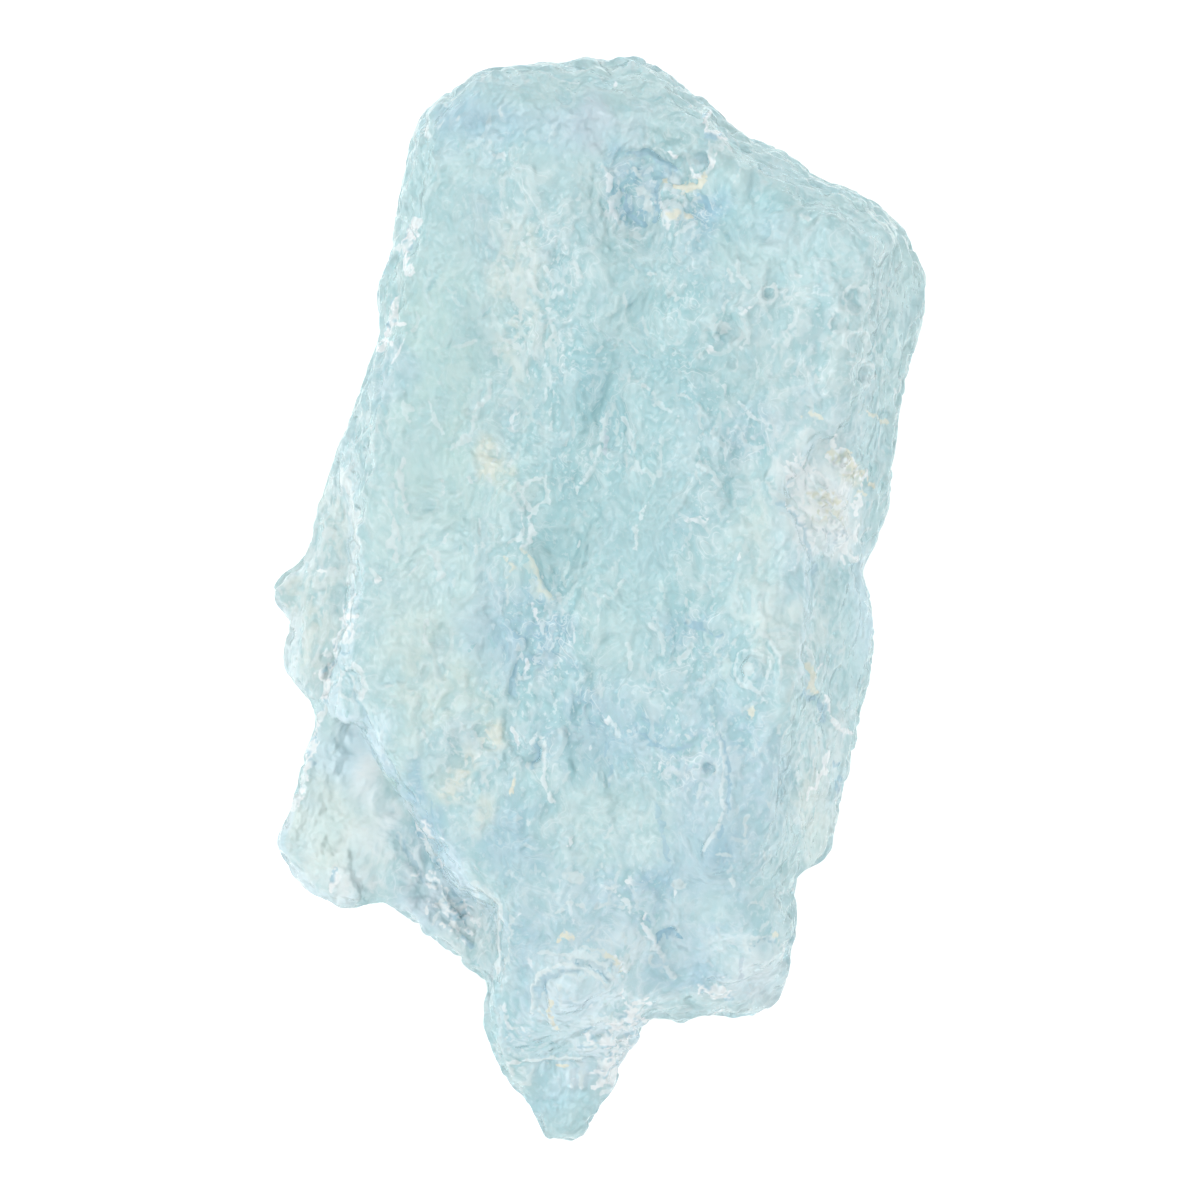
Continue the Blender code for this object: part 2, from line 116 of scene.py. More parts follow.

# Soft colour zones of the show face, painted light and painted shade among them: colour, strength, centre,
# half sizes
ZONES = [
    ("grey_teal", 1.0, (-1.0, 25.6), (8.0, 2.2)),
    ("grey_teal", 1.0, (6.4, 22.4), (4.0, 2.0)),
    ("grey_teal", 1.0, (11.0, 20.0), (4.4, 2.0)),
    ("grey_teal", 1.0, (15.2, 14.2), (1.6, 5.4)),
    ("green", 0.8, (-8.0, 12.0), (3.0, 6.4)),
    ("green", 0.7, (-7.2, 6.4), (3.4, 3.2)),
    ("deep_teal", 0.5, (1.6, 13.4), (4.6, 3.0)),
    ("deep_teal", 0.7, (0.4, 8.8), (4.4, 4.6)),
    ("deep_teal", 0.6, (1.0, 2.6), (4.0, 4.4)),
    ("lavender", 0.8, (10.6, 14.4), (3.8, 4.6)),
    ("lavender", 0.7, (10.6, 9.2), (2.8, 2.6)),
    ("grey_teal", 0.6, (11.0, 13.6), (4.4, 6.0)),
    ("beige", 0.2, (11.0, 13.0), (3.6, 5.0)),
    ("grey_teal", 0.35, (1.5, 7.0), (7.0, 10.0)),
    ("grey_teal", 0.7, (0.4, 23.6), (7.0, 2.6)),
    ("pale", 0.9, (-8.8, -0.6), (3.0, 6.6)),
    ("pale", 0.7, (-8.8, -5.6), (2.8, 3.0)),
    ("beige", 0.8, (-7.8, -4.6), (2.2, 3.2)),
    ("green", 0.35, (-8.2, -1.6), (4.2, 8.0)),
    ("beige", 0.4, (-9.2, -3.0), (1.6, 4.4)),
    ("blue", 0.6, (0.2, -6.6), (5.0, 3.0)),
    ("pale_blue", 0.9, (6.4, -9.4), (3.4, 4.8)),
    ("pale_blue", 0.8, (2.8, -15.8), (5.6, 4.4)),
    ("pale_blue", 0.5, (-3.4, -18.0), (2.6, 5.0)),
    ("beige", 0.9, (-4.2, 15.4), (1.5, 5.6)),
    ("blue", 0.9, (-5.8, 23.9), (2.6, 1.7)),
    ("pale_blue", 0.5, (-1.6, 23.6), (2.6, 1.3)),
    ("lavender", 0.8, (0.2, 23.6), (2.2, 1.3)),
    ("pale", 0.8, (-2.2, 20.6), (3.2, 1.8)),
    ("teal", 0.7, (-8.6, 19.8), (1.4, 4.0)),
    ("blue", 0.5, (-10.4, 11.4), (1.3, 1.8)),
    ("grey_teal", 0.9, (8.4, 18.4), (4.2, 2.6)),
    ("deep_teal", 0.9, (6.8, 19.2), (2.6, 1.5)),
    ("deep_blue", 0.9, (5.6, 19.1), (1.6, 1.3)),
    ("lavender", 0.3, (9.8, 18.2), (2.4, 1.2)),
    ("teal", 0.8, (3.6, 14.4), (3.2, 2.6)),
    ("deep_teal", 0.7, (4.0, 11.2), (2.0, 1.6)),
    ("deep_teal", 1.0, (-0.6, 10.4), (1.8, 2.8)),
    ("deep_teal", 0.6, (-1.7, 6.6), (1.1, 2.6)),
    ("deep_teal", 1.0, (-2.3, 2.2), (1.0, 2.8)),
    ("teal", 0.4, (2.0, 8.0), (1.2, 1.6)),
    ("pale_blue", 0.6, (7.6, 8.6), (2.0, 1.8)),
    ("pale_blue", 0.7, (-5.9, -0.8), (1.2, 3.0)),
    ("blue", 1.0, (-3.7, -2.0), (1.7, 2.8)),
    ("deep_blue", 1.0, (-2.8, -2.8), (1.3, 1.6)),
    ("deep_blue", 0.9, (-2.1, -1.5), (0.8, 1.2)),
    ("deep_teal", 0.6, (4.0, -0.8), (1.7, 1.8)),
    ("blue", 0.8, (4.4, -1.4), (1.4, 1.2)),
    ("beige", 0.6, (8.2, 2.4), (1.8, 2.6)),
    ("beige", 0.9, (9.0, -1.6), (1.8, 2.6)),
    ("bright", 0.4, (9.4, -0.6), (2.2, 3.0)),
    ("blue", 0.5, (9.6, 1.4), (0.9, 2.0)),
    ("grey_teal", 0.7, (14.2, 7.0), (0.9, 4.6)),
    ("teal", 0.4, (12.8, -1.6), (0.8, 3.2)),
    # Partly the white of the cloud, partly painted light that lifts the shade at the foot of the hollow's
    # wall
    ("bright", 1.0, (10.4, 6.0), (2.2, 3.2)),
    ("white", 1.0, (11.2, 4.3), (2.0, 2.5)),
    ("cream", 1.0, (12.4, 6.5), (0.9, 0.8)),
    ("cream", 0.9, (11.2, 4.4), (1.0, 0.9)),
    ("deep_blue", 0.7, (-0.6, -5.4), (1.4, 1.2)),
    ("blue", 0.7, (2.2, -6.8), (2.6, 1.2)),
    ("blue", 0.8, (7.1, -6.6), (0.7, 1.1)),
    ("lavender", 0.4, (5.2, -9.0), (1.6, 2.4)),
    ("pale", 0.6, (0.2, -11.0), (3.0, 2.2)),
    ("green", 0.4, (0.4, -13.0), (1.4, 1.0)),
    ("blue", 0.8, (-4.4, -11.8), (1.8, 2.2)),
    ("pale_blue", 0.6, (-1.6, -14.6), (2.4, 1.2)),
    ("deep_blue", 0.8, (2.7, -14.2), (1.1, 1.3)),
    ("deep_blue", 0.5, (6.0, -12.4), (0.9, 1.6)),
    ("green", 0.5, (5.2, -15.4), (1.5, 0.8)),
    ("deep_blue", 0.8, (4.5, -18.7), (1.3, 1.1)),
    ("aqua", 0.8, (8.8, -15.6), (1.0, 1.6)),
    ("bright", 0.8, (7.4, -18.8), (2.4, 2.0)),
    ("lavender", 0.6, (8.0, -19.4), (1.4, 1.2)),
    ("blue", 0.7, (-3.9, -17.6), (1.2, 2.0)),
    ("blue", 0.5, (-4.3, -20.6), (1.0, 2.2)),
    ("bright", 0.8, (-0.6, -19.8), (3.0, 2.4)),
    ("white", 1.0, (0.7, -22.3), (1.7, 1.7)),
    ("white", 1.0, (0.8, -23.6), (0.9, 1.3)),
    ("lavender", 0.7, (-1.3, -19.9), (1.4, 1.3)),
    ("deep_teal", 0.3, (-2.6, -22.2), (2.2, 0.5)),
    ("blue", 0.6, (-2.2, -24.4), (2.0, 1.8)),
    ("lavender", 0.8, (-0.5, -23.6), (0.8, 1.0)),
    ("deep_teal", 0.4, (-1.9, -26.2), (1.8, 1.6)),
    ("glow_blue", 0.55, (-0.6, -20.8), (3.4, 3.4)),
    ("bright", 0.5, (1.2, -17.6), (1.3, 1.0)),
    ("glow_blue", 0.25, (3.0, -16.8), (5.6, 3.0)),
    ("pale", 0.8, (-7.8, -7.4), (2.2, 1.5)),
    ("pale", 0.8, (-6.6, -8.2), (1.8, 2.0)),
    ("cream", 0.7, (-7.2, -9.3), (1.1, 1.0)),
    ("cream", 0.8, (-6.5, -8.4), (0.8, 1.0)),
    ("cream", 0.8, (-5.4, -6.7), (0.8, 0.8)),
    ("cream", 0.6, (-5.7, -10.8), (0.6, 1.2)),
    ("cream", 0.8, (-5.4, 6.6), (0.9, 1.3)),
    ("frost_and_highlight", 0.8, (-13.8, 3.0), (1.5, 3.6)),
    ("frost_and_highlight", 0.8, (-15.5, 0.3), (1.3, 1.3)),
    ("frost_and_highlight", 0.9, (-14.7, -2.6), (1.6, 2.0)),
    ("beige", 0.8, (-14.9, -1.2), (1.6, 3.4)),
    ("beige", 0.6, (-13.0, 4.4), (1.2, 2.4)),
    # Painted light that lifts the shade below the wall of the ledge
    ("glow_blue", 0.8, (-12.4, -7.2), (1.8, 2.4)),
    ("bright", 0.7, (-13.2, -12.0), (3.2, 3.2)),
    ("beige", 0.9, (-13.4, -11.4), (2.6, 3.0)),
    ("white", 0.5, (-11.8, -11.9), (1.6, 1.2)),
    ("white", 0.6, (-12.6, -14.2), (1.6, 1.0)),
    # Painted light that lifts the shadow along the foot of the wall
    ("white", 0.9, (-11.3, -8.8), (0.8, 1.2)),
    ("white", 0.9, (-10.4, -10.8), (0.8, 1.3)),
    ("white", 0.8, (-9.3, -12.8), (0.7, 1.2)),
    ("white", 0.6, (-8.4, -14.4), (0.7, 0.9)),
    # Painted shade along the crease beside the wall
    ("deep_blue", 0.8, (-9.4, -9.0), (0.6, 1.2)),
    ("deep_blue", 0.9, (-8.4, -11.2), (0.7, 1.4)),
    ("deep_blue", 0.8, (-7.5, -13.2), (0.7, 1.2)),
    ("pale_blue", 0.45, (-8.4, -13.4), (2.2, 3.4)),
    # Painted light that lifts the shade among the walls of the crease
    ("glow_blue", 0.8, (-7.8, -15.3), (1.9, 1.6)),
    ("lavender", 0.6, (-8.2, -14.8), (1.8, 1.6)),
    ("pale_blue", 0.6, (-7.4, -13.6), (0.9, 1.2)),
    ("frost_and_highlight", 0.8, (-6.6, -16.8), (1.6, 1.4)),
    ("bright", 0.6, (11.2, -9.4), (1.4, 5.0)),
    ("beige", 0.7, (10.9, -11.0), (1.0, 2.8)),
    ("blue", 1.0, (1.9, 20.7), (1.7, 1.8)),
    ("deep_blue", 0.9, (2.2, 20.8), (1.6, 1.1)),
    ("deep_blue", 0.8, (1.6, 19.6), (1.1, 1.0)),
    ("deep_blue", 0.8, (0.9, 21.2), (0.9, 1.0)),
    ("bright", 0.8, (3.6, 20.0), (1.0, 1.1)),
    ("deep_teal", 0.6, (4.9, 21.9), (0.6, 0.7)),
]

# Ridges and furrows to be seen: look, strength, height, half width, and the places they pass
LINES = [
    ("bright", 0.6, 0.06, 0.12, [(-7.7, 24.7), (-7.6, 24.1), (-8.0, 23.6)]),
    ("bright", 0.7, 0.08, 0.20, [(-8.6, 23.5), (-8.5, 23.1)]),
    ("pale", 0.7, 0.06, 0.16, [(-8.3, 22.4), (-8.1, 21.6), (-8.2, 20.6)]),
    ("pale", 0.7, 0.08, 0.14, [(-6.9, 20.0), (-6.7, 19.5), (-6.2, 19.3)]),
    ("pale", 0.7, 0.06, 0.14, [(-6.2, 18.1), (-5.7, 17.4), (-5.7, 16.6)]),
    ("pale", 0.8, 0.08, 0.16, [(-8.5, 16.2), (-8.7, 15.4), (-8.3, 14.5)]),
    ("bright", 0.5, 0.08, 0.14, [(-4.7, 19.6), (-4.3, 18.9), (-4.4, 18.0)]),
    ("bright", 0.6, 0.10, 0.14, [(-3.8, 17.9), (-3.3, 17.0), (-3.5, 16.3), (-3.0, 15.3)]),
    ("bright", 0.6, 0.10, 0.13, [(-2.9, 16.8), (-2.3, 16.1), (-2.2, 15.5), (-2.6, 15.2)]),
    ("bright", 0.5, 0.08, 0.14, [(-4.6, 16.6), (-4.2, 15.6), (-4.5, 14.8), (-3.9, 14.0)]),
    ("bright", 0.6, 0.10, 0.14, [(-2.6, 14.6), (-2.2, 13.4), (-2.8, 12.7), (-2.7, 11.6), (-2.3, 10.4)]),
    ("pale", 0.8, 0.08, 0.15, [(-4.0, 13.6), (-3.5, 12.8), (-3.8, 11.9)]),
    ("pale", 0.8, 0.06, 0.14, [(-5.2, 15.0), (-5.4, 14.2), (-4.9, 13.4)]),
    ("bright", 0.7, 0.08, 0.16, [(-1.2, 16.9), (-1.1, 16.2)]),
    ("bright", 0.6, 0.08, 0.14, [(-2.4, 9.6), (-2.5, 8.4)]),
    ("pale", 0.9, 0.08, 0.16, [(-3.7, 10.0), (-3.5, 9.3), (-3.9, 8.4)]),
    ("pale", 0.9, 0.08, 0.15, [(-5.9, 11.0), (-5.5, 10.7), (-5.8, 10.3)]),
    ("bright", 0.5, 0.08, 0.13, [(-8.6, 9.9), (-8.3, 9.0), (-7.8, 8.2)]),
    ("bright", 0.5, 0.06, 0.12, [(-11.6, 9.1), (-11.3, 8.3), (-11.2, 7.5)]),
    ("bright", 0.5, 0.06, 0.12, [(-9.9, 9.6), (-9.5, 9.0)]),
    ("bright", 0.6, 0.10, 0.15, [(1.2, 9.2), (1.4, 8.0), (1.8, 7.2), (2.0, 6.4)]),
    ("pale", 0.9, 0.08, 0.14, [(0.6, 9.6), (0.9, 8.6), (0.9, 7.8)]),
    ("bright", 0.7, 0.12, 0.09, [(2.4, 4.9), (2.0, 4.1), (1.8, 3.2), (1.7, 2.4)]),
    ("pale", 0.9, 0.08, 0.16, [(2.2, 6.6), (2.7, 5.9), (2.5, 5.3)]),
    ("bright", 0.6, 0.08, 0.14, [(-2.8, 6.3), (-2.6, 5.6), (-2.8, 4.9), (-3.4, 4.4)]),
    ("cream", 0.6, 0.10, 0.16, [(-4.8, 2.3), (-4.3, 1.7), (-4.6, 0.9), (-4.9, 0.4)]),
    ("white", 0.7, 0.12, 0.16, [(-3.6, -3.1), (-3.7, -3.9)]),
    ("bright", 0.6, 0.10, 0.13, [(-2.1, -1.9), (-2.6, -2.6), (-3.2, -3.0)]),
    ("bright", 0.6, 0.08, 0.14, [(-4.2, -2.1), (-3.9, -2.9)]),
    ("pale", 0.9, 0.08, 0.14, [(-1.6, 1.9), (-1.8, 1.2), (-1.7, 0.6)]),
    ("pale", 0.9, 0.08, 0.14, [(1.2, 0.9), (0.8, 0.3), (0.3, 0.0)]),
    ("pale", 0.9, 0.08, 0.14, [(3.0, 1.0), (3.1, 0.2), (3.0, -0.4)]),
    ("bright", 0.6, 0.10, 0.15, [(2.6, -1.1), (3.1, -1.7), (3.2, -2.6)]),
    ("bright", 0.6, 0.08, 0.15, [(1.4, -2.1), (1.6, -2.9), (1.5, -3.5)]),
    ("bright", 0.7, 0.10, 0.15, [(4.6, -2.2), (4.4, -2.9), (4.0, -3.1)]),
    ("deep_blue", 0.7, -0.10, 0.16, [(4.4, -1.1), (5.2, -1.5), (6.0, -1.8)]),
    ("pale", 0.9, 0.10, 0.16, [(5.3, -1.9), (5.9, -2.8), (6.4, -3.0), (6.3, -3.9)]),
    ("pale", 0.9, 0.10, 0.14, [(5.6, -4.3), (5.6, -5.2), (5.7, -6.0)]),
    ("bright", 0.6, 0.12, 0.14, [(7.2, -3.9), (7.8, -4.5), (8.2, -5.0)]),
    ("deep_teal", 0.7, -0.10, 0.16, [(8.3, -2.1), (8.8, -2.7), (8.8, -3.6)]),
    ("bright", 0.7, 0.14, 0.14, [(10.1, -1.9), (10.4, -2.6), (10.5, -3.2)]),
    ("deep_blue", 0.7, -0.14, 0.20, [(10.0, -4.6), (10.5, -5.0), (11.0, -5.0), (11.2, -6.0)]),
    ("frost_and_highlight", 0.8, 0.10, 0.30, [(11.7, -5.3), (12.0, -6.0)]),
    ("deep_blue", 0.6, -0.12, 0.14, [(5.9, -6.6), (6.4, -7.7), (6.5, -9.2), (6.4, -10.6), (6.0, -11.7)]),
    ("frost_and_highlight", 0.8, 0.08, 0.13, [(7.4, -10.2), (7.2, -11.2), (7.1, -12.2)]),
    ("deep_blue", 0.5, -0.10, 0.15, [(2.7, -10.2), (3.1, -11.2), (3.2, -12.4), (3.5, -13.1)]),
    ("bright", 0.7, 0.10, 0.13, [(6.4, -13.9), (6.8, -14.4), (6.8, -15.1)]),
    ("deep_blue", 0.4, -0.08, 0.14, [(6.2, -14.3), (6.6, -15.0), (6.4, -15.6)]),
    ("bright", 0.6, 0.10, 0.16, [(9.9, -7.2), (9.8, -8.4), (9.9, -9.8), (9.8, -11.0)]),
    ("white", 0.8, 0.12, 0.16, [(11.4, -7.6), (11.1, -8.6), (10.7, -9.3), (10.3, -9.9)]),
    ("blue", 0.9, -0.10, 0.20, [(11.9, -8.2), (11.8, -9.6)]),
    ("pale", 0.9, 0.08, 0.14, [(14.4, 14.6), (14.8, 13.4), (14.8, 12.2)]),
    ("bright", 0.6, 0.12, 0.15, [(7.1, 14.6), (7.5, 13.8), (7.4, 13.0), (7.1, 12.7)]),
    ("bright", 0.5, 0.10, 0.16, [(5.7, 14.2), (5.6, 13.5), (5.9, 13.0)]),
    ("bright", 0.6, 0.10, 0.16, [(9.7, 14.2), (9.6, 13.5), (9.3, 13.0)]),
    ("bright", 0.5, 0.10, 0.18, [(6.9, 16.9), (7.0, 16.2), (7.5, 15.6)]),
    ("bright", 0.5, 0.08, 0.14, [(3.6, 16.0), (3.4, 15.3), (3.9, 15.1)]),
    ("pale", 0.8, 0.08, 0.14, [(1.9, 16.4), (1.5, 15.7)]),
    ("pale", 0.9, 0.08, 0.14, [(0.8, 15.2), (0.7, 14.5), (0.1, 14.2)]),
    ("bright", 0.5, 0.08, 0.10, [(2.9, 10.0), (3.3, 9.5), (4.3, 9.0)]),
    ("bright", 0.6, 0.10, 0.14, [(5.6, 8.3), (6.2, 7.6), (6.3, 6.9), (6.9, 6.6)]),
    ("bright", 0.6, 0.10, 0.14, [(4.9, 6.7), (5.6, 6.4), (5.9, 5.7)]),
    ("cream", 0.7, 0.08, 0.14, [(10.1, 9.2), (10.6, 9.3), (11.0, 9.1)]),
    ("cream", 0.7, 0.08, 0.12, [(13.1, 9.6), (13.6, 9.2), (14.2, 9.0)]),
    ("blue", 0.6, -0.10, 0.14, [(8.9, 4.9), (9.7, 4.3), (10.2, 3.5), (10.5, 2.4), (10.7, 1.4)]),
    ("bright", 0.7, 0.12, 0.20, [(10.7, 3.4), (11.4, 2.8), (11.2, 2.4)]),
    ("frost_and_highlight", 0.8, 0.08, 0.14, [(-10.8, 5.0), (-10.4, 4.2), (-10.3, 2.6), (-10.1, 1.9)]),
    ("frost_and_highlight", 0.8, 0.06, 0.16, [(-9.9, 7.0), (-10.1, 6.1), (-9.8, 5.2), (-9.7, 4.5)]),
    ("frost_and_highlight", 0.8, 0.08, 0.20, [(-11.4, 1.6), (-11.0, 0.8)]),
    ("frost_and_highlight", 0.8, 0.06, 0.20, [(-8.8, -1.2), (-8.5, -2.2)]),
    ("frost_and_highlight", 0.8, 0.06, 0.18, [(-8.2, 2.2), (-7.9, 1.2)]),
    ("frost_and_highlight", 0.7, 0.06, 0.18, [(-7.8, 6.0), (-7.8, 5.2)]),
    ("blue", 0.5, -0.14, 0.14, [(-12.4, -4.7), (-11.8, -5.6), (-11.5, -6.8), (-10.9, -8.0), (-10.1, -9.0)]),
    ("deep_blue", 0.4, -0.10, 0.14, [(-9.9, -9.2), (-9.0, -10.4), (-8.4, -11.8), (-7.8, -13.0)]),
    ("blue", 0.6, -0.10, 0.12, [(-10.2, -11.6), (-9.5, -12.8), (-8.9, -14.0)]),
    ("blue", 0.7, -0.10, 0.12, [(-8.6, -9.8), (-8.3, -11.2), (-7.9, -12.4)]),
    ("blue", 0.7, -0.10, 0.14, [(-7.4, -14.4), (-6.9, -15.4), (-6.6, -16.6)]),
    ("bright", 0.7, 0.12, 0.12, [(-8.7, -12.0), (-8.4, -12.6), (-8.0, -12.8)]),
    ("bright", 0.6, 0.10, 0.12, [(-8.0, -14.4), (-7.6, -15.0), (-7.7, -15.7)]),
    ("bright", 0.6, 0.10, 0.12, [(-6.2, -14.4), (-5.9, -15.4), (-5.6, -16.4)]),
    ("frost_and_highlight", 0.8, 0.10, 0.14, [(-6.4, -14.1), (-5.6, -14.5), (-5.1, -15.0)]),
    ("deep_blue", 0.5, -0.10, 0.20, [(-3.2, -7.2), (-3.3, -8.4)]),
    ("white", 0.7, 0.10, 0.16, [(-4.4, -6.4), (-4.1, -7.3)]),
    ("cream", 0.9, 0.10, 0.15, [(-4.3, -8.9), (-4.4, -9.7)]),
    ("bright", 0.7, 0.10, 0.18, [(0.2, -5.9), (0.7, -6.2), (0.8, -6.8)]),
    ("bright", 0.6, 0.08, 0.14, [(-1.6, -6.4), (-1.4, -6.9)]),
    ("deep_blue", 0.5, -0.12, 0.16, [(0.2, -7.0), (0.6, -8.2), (0.5, -9.4)]),
    ("deep_blue", 0.5, -0.10, 0.14, [(2.0, -6.7), (3.4, -7.5), (4.6, -7.3)]),
    ("deep_blue", 0.5, -0.12, 0.16, [(-4.2, -3.2), (-4.4, -4.0), (-4.3, -4.7)]),
    ("frost_and_highlight", 0.8, 0.10, 0.16, [(1.2, -16.6), (1.3, -17.6), (1.4, -18.8)]),
    ("bright", 0.6, 0.12, 0.14, [(2.7, -17.2), (3.2, -18.1), (3.6, -18.9)]),
    ("frost_and_highlight", 0.8, 0.10, 0.14, [(-2.0, -15.6), (-1.6, -15.1), (-0.9, -15.2)]),
    ("deep_blue", 0.5, -0.14, 0.18,
     [(-3.0, -20.3), (-3.1, -19.6), (-2.7, -18.9), (-1.8, -18.5), (-1.0, -18.6)]),
    ("frost_and_highlight", 0.8, 0.08, 0.22, [(-1.9, -19.3), (-2.1, -19.9)]),
    ("cream", 0.9, 0.08, 0.13, [(-2.2, -23.25), (-1.6, -23.3)]),
    ("frost_and_highlight", 0.8, 0.10, 0.16, [(-4.5, -23.3), (-4.3, -23.9), (-3.7, -24.3)]),
    ("frost_and_highlight", 0.9, 0.10, 0.18, [(-1.0, -23.6), (-0.9, -24.3)]),
    ("deep_teal", 0.6, -0.08, 0.12, [(-3.1, -25.1), (-2.4, -25.2)]),
    ("cream", 0.9, 0.14, 0.18, [(3.2, 19.3), (3.8, 19.2), (4.3, 19.1)]),
    ("white", 0.8, 0.14, 0.16, [(3.5, 22.4), (3.9, 22.2)]),
    ("bright", 0.7, 0.12, 0.18, [(3.7, 18.2), (4.2, 18.6), (4.9, 18.8)]),
    ("deep_blue", 0.7, -0.16, 0.18, [(2.0, 22.3), (3.0, 22.0), (3.8, 21.5)]),
    ("frost_and_highlight", 0.7, 0.12, 0.16, [(0.8, 20.4), (0.7, 19.4), (1.2, 18.6), (2.0, 18.1)]),
    ("frost_and_highlight", 0.7, 0.10, 0.16, [(5.9, 22.6), (6.2, 22.9), (6.5, 22.4)]),
]

# The clearest ridges, which nothing breaks up
WHOLE_LINES = [
    ("bright", 0.7, 0.14, 0.13, [(0.3, 9.3), (0.1, 8.0), (-0.2, 7.0), (-0.7, 6.1), (-1.3, 5.2)]),
    ("cream", 0.6, 0.16, 0.13, [(-4.0, 2.6), (-3.4, 2.0), (-3.2, 1.2), (-2.9, 0.6), (-2.4, 0.0)]),
    ("white", 0.6, 0.12, 0.16, [(-3.5, 4.2), (-3.4, 3.3), (-3.9, 2.6)]),
    ("bright", 0.6, 0.10, 0.12, [(-2.4, 0.0), (-2.5, -0.8), (-2.9, -1.2), (-2.8, -1.9)]),
    ("bright", 0.7, 0.16, 0.12, [(5.7, -6.3), (6.1, -7.3), (6.2, -8.5), (6.1, -9.5), (6.2, -10.5),
                                (5.9, -11.3), (5.2, -12.6)]),
    ("frost_and_highlight", 0.9, 0.14, 0.18, [(8.6, 5.4), (9.6, 4.8), (10.3, 4.0), (10.8, 3.1), (11.1, 2.3)]),
    ("bright", 0.9, 0.20, 0.22, [(-12.7, 6.4), (-12.4, 5.4), (-12.1, 4.2), (-12.1, 2.6), (-12.4, 0.8)]),
    ("bright", 0.9, 0.20, 0.14, [(-4.9, -15.2), (-4.9, -16.2), (-4.9, -17.4), (-5.1, -18.7)]),
    ("bright", 0.9, 0.12, 0.14, [(-3.4, -7.2), (-3.1, -6.7), (-2.7, -7.1), (-2.8, -8.2), (-2.8, -9.2),
                                (-2.4, -10.1)]),
    ("bright", 0.9, 0.20, 0.13, [(-3.3, -20.5), (-3.4, -19.6), (-3.0, -18.7), (-1.9, -18.2), (-0.9, -18.35),
                                (-0.1, -18.8), (0.5, -19.5)]),
    ("bright", 0.8, 0.14, 0.12, [(-1.9, -17.7), (-0.9, -17.8), (0.1, -18.2), (0.7, -18.9)]),
    ("cream", 0.9, 0.16, 0.16, [(-2.4, -20.1), (-2.6, -20.6), (-2.2, -21.3)]),
    ("bright", 0.9, 0.14, 0.13, [(-4.6, -23.1), (-3.6, -22.95), (-2.4, -22.85), (-0.9, -22.9)]),
    ("cream", 0.9, 0.12, 0.18, [(-2.1, -17.0), (-1.8, -16.7), (-1.4, -16.8)]),
    ("cream", 0.8, 0.14, 0.18, [(0.3, -17.7), (0.8, -17.9), (1.0, -18.5)]),
    ("frost_and_highlight", 0.8, 0.16, 0.15, [(7.8, -1.4), (8.5, -2.0), (9.0, -2.8), (9.0, -3.9)]),
    ("white", 0.8, 0.14, 0.14, [(11.2, -4.8), (11.4, -5.6), (11.9, -6.4), (12.4, -6.6)]),
    ("cream", 0.8, 0.16, 0.18, [(10.3, -3.2), (10.6, -3.7), (10.4, -4.2), (10.8, -4.6)]),
    ("bright", 0.7, 0.10, 0.10, [(6.2, 10.7), (6.4, 9.6), (6.7, 8.6)]),
    ("bright", 0.7, 0.10, 0.10, [(6.9, 10.0), (7.6, 9.2), (8.4, 8.8)]),
    ("white", 0.6, 0.10, 0.16, [(-12.2, -3.2), (-11.8, -3.6), (-11.7, -4.3), (-11.9, -4.9)]),
    ("white", 0.6, 0.12, 0.14, [(2.1, -16.2), (2.6, -16.8), (2.9, -17.6)]),
    ("bright", 0.8, 0.12, 0.14, [(0.1, -14.3), (0.8, -14.5), (1.3, -15.0), (1.5, -15.6)]),
    ("cream", 0.95, 0.20, 0.20, [(3.7, 20.6), (4.4, 20.5), (5.0, 20.7), (5.3, 21.4)]),
]

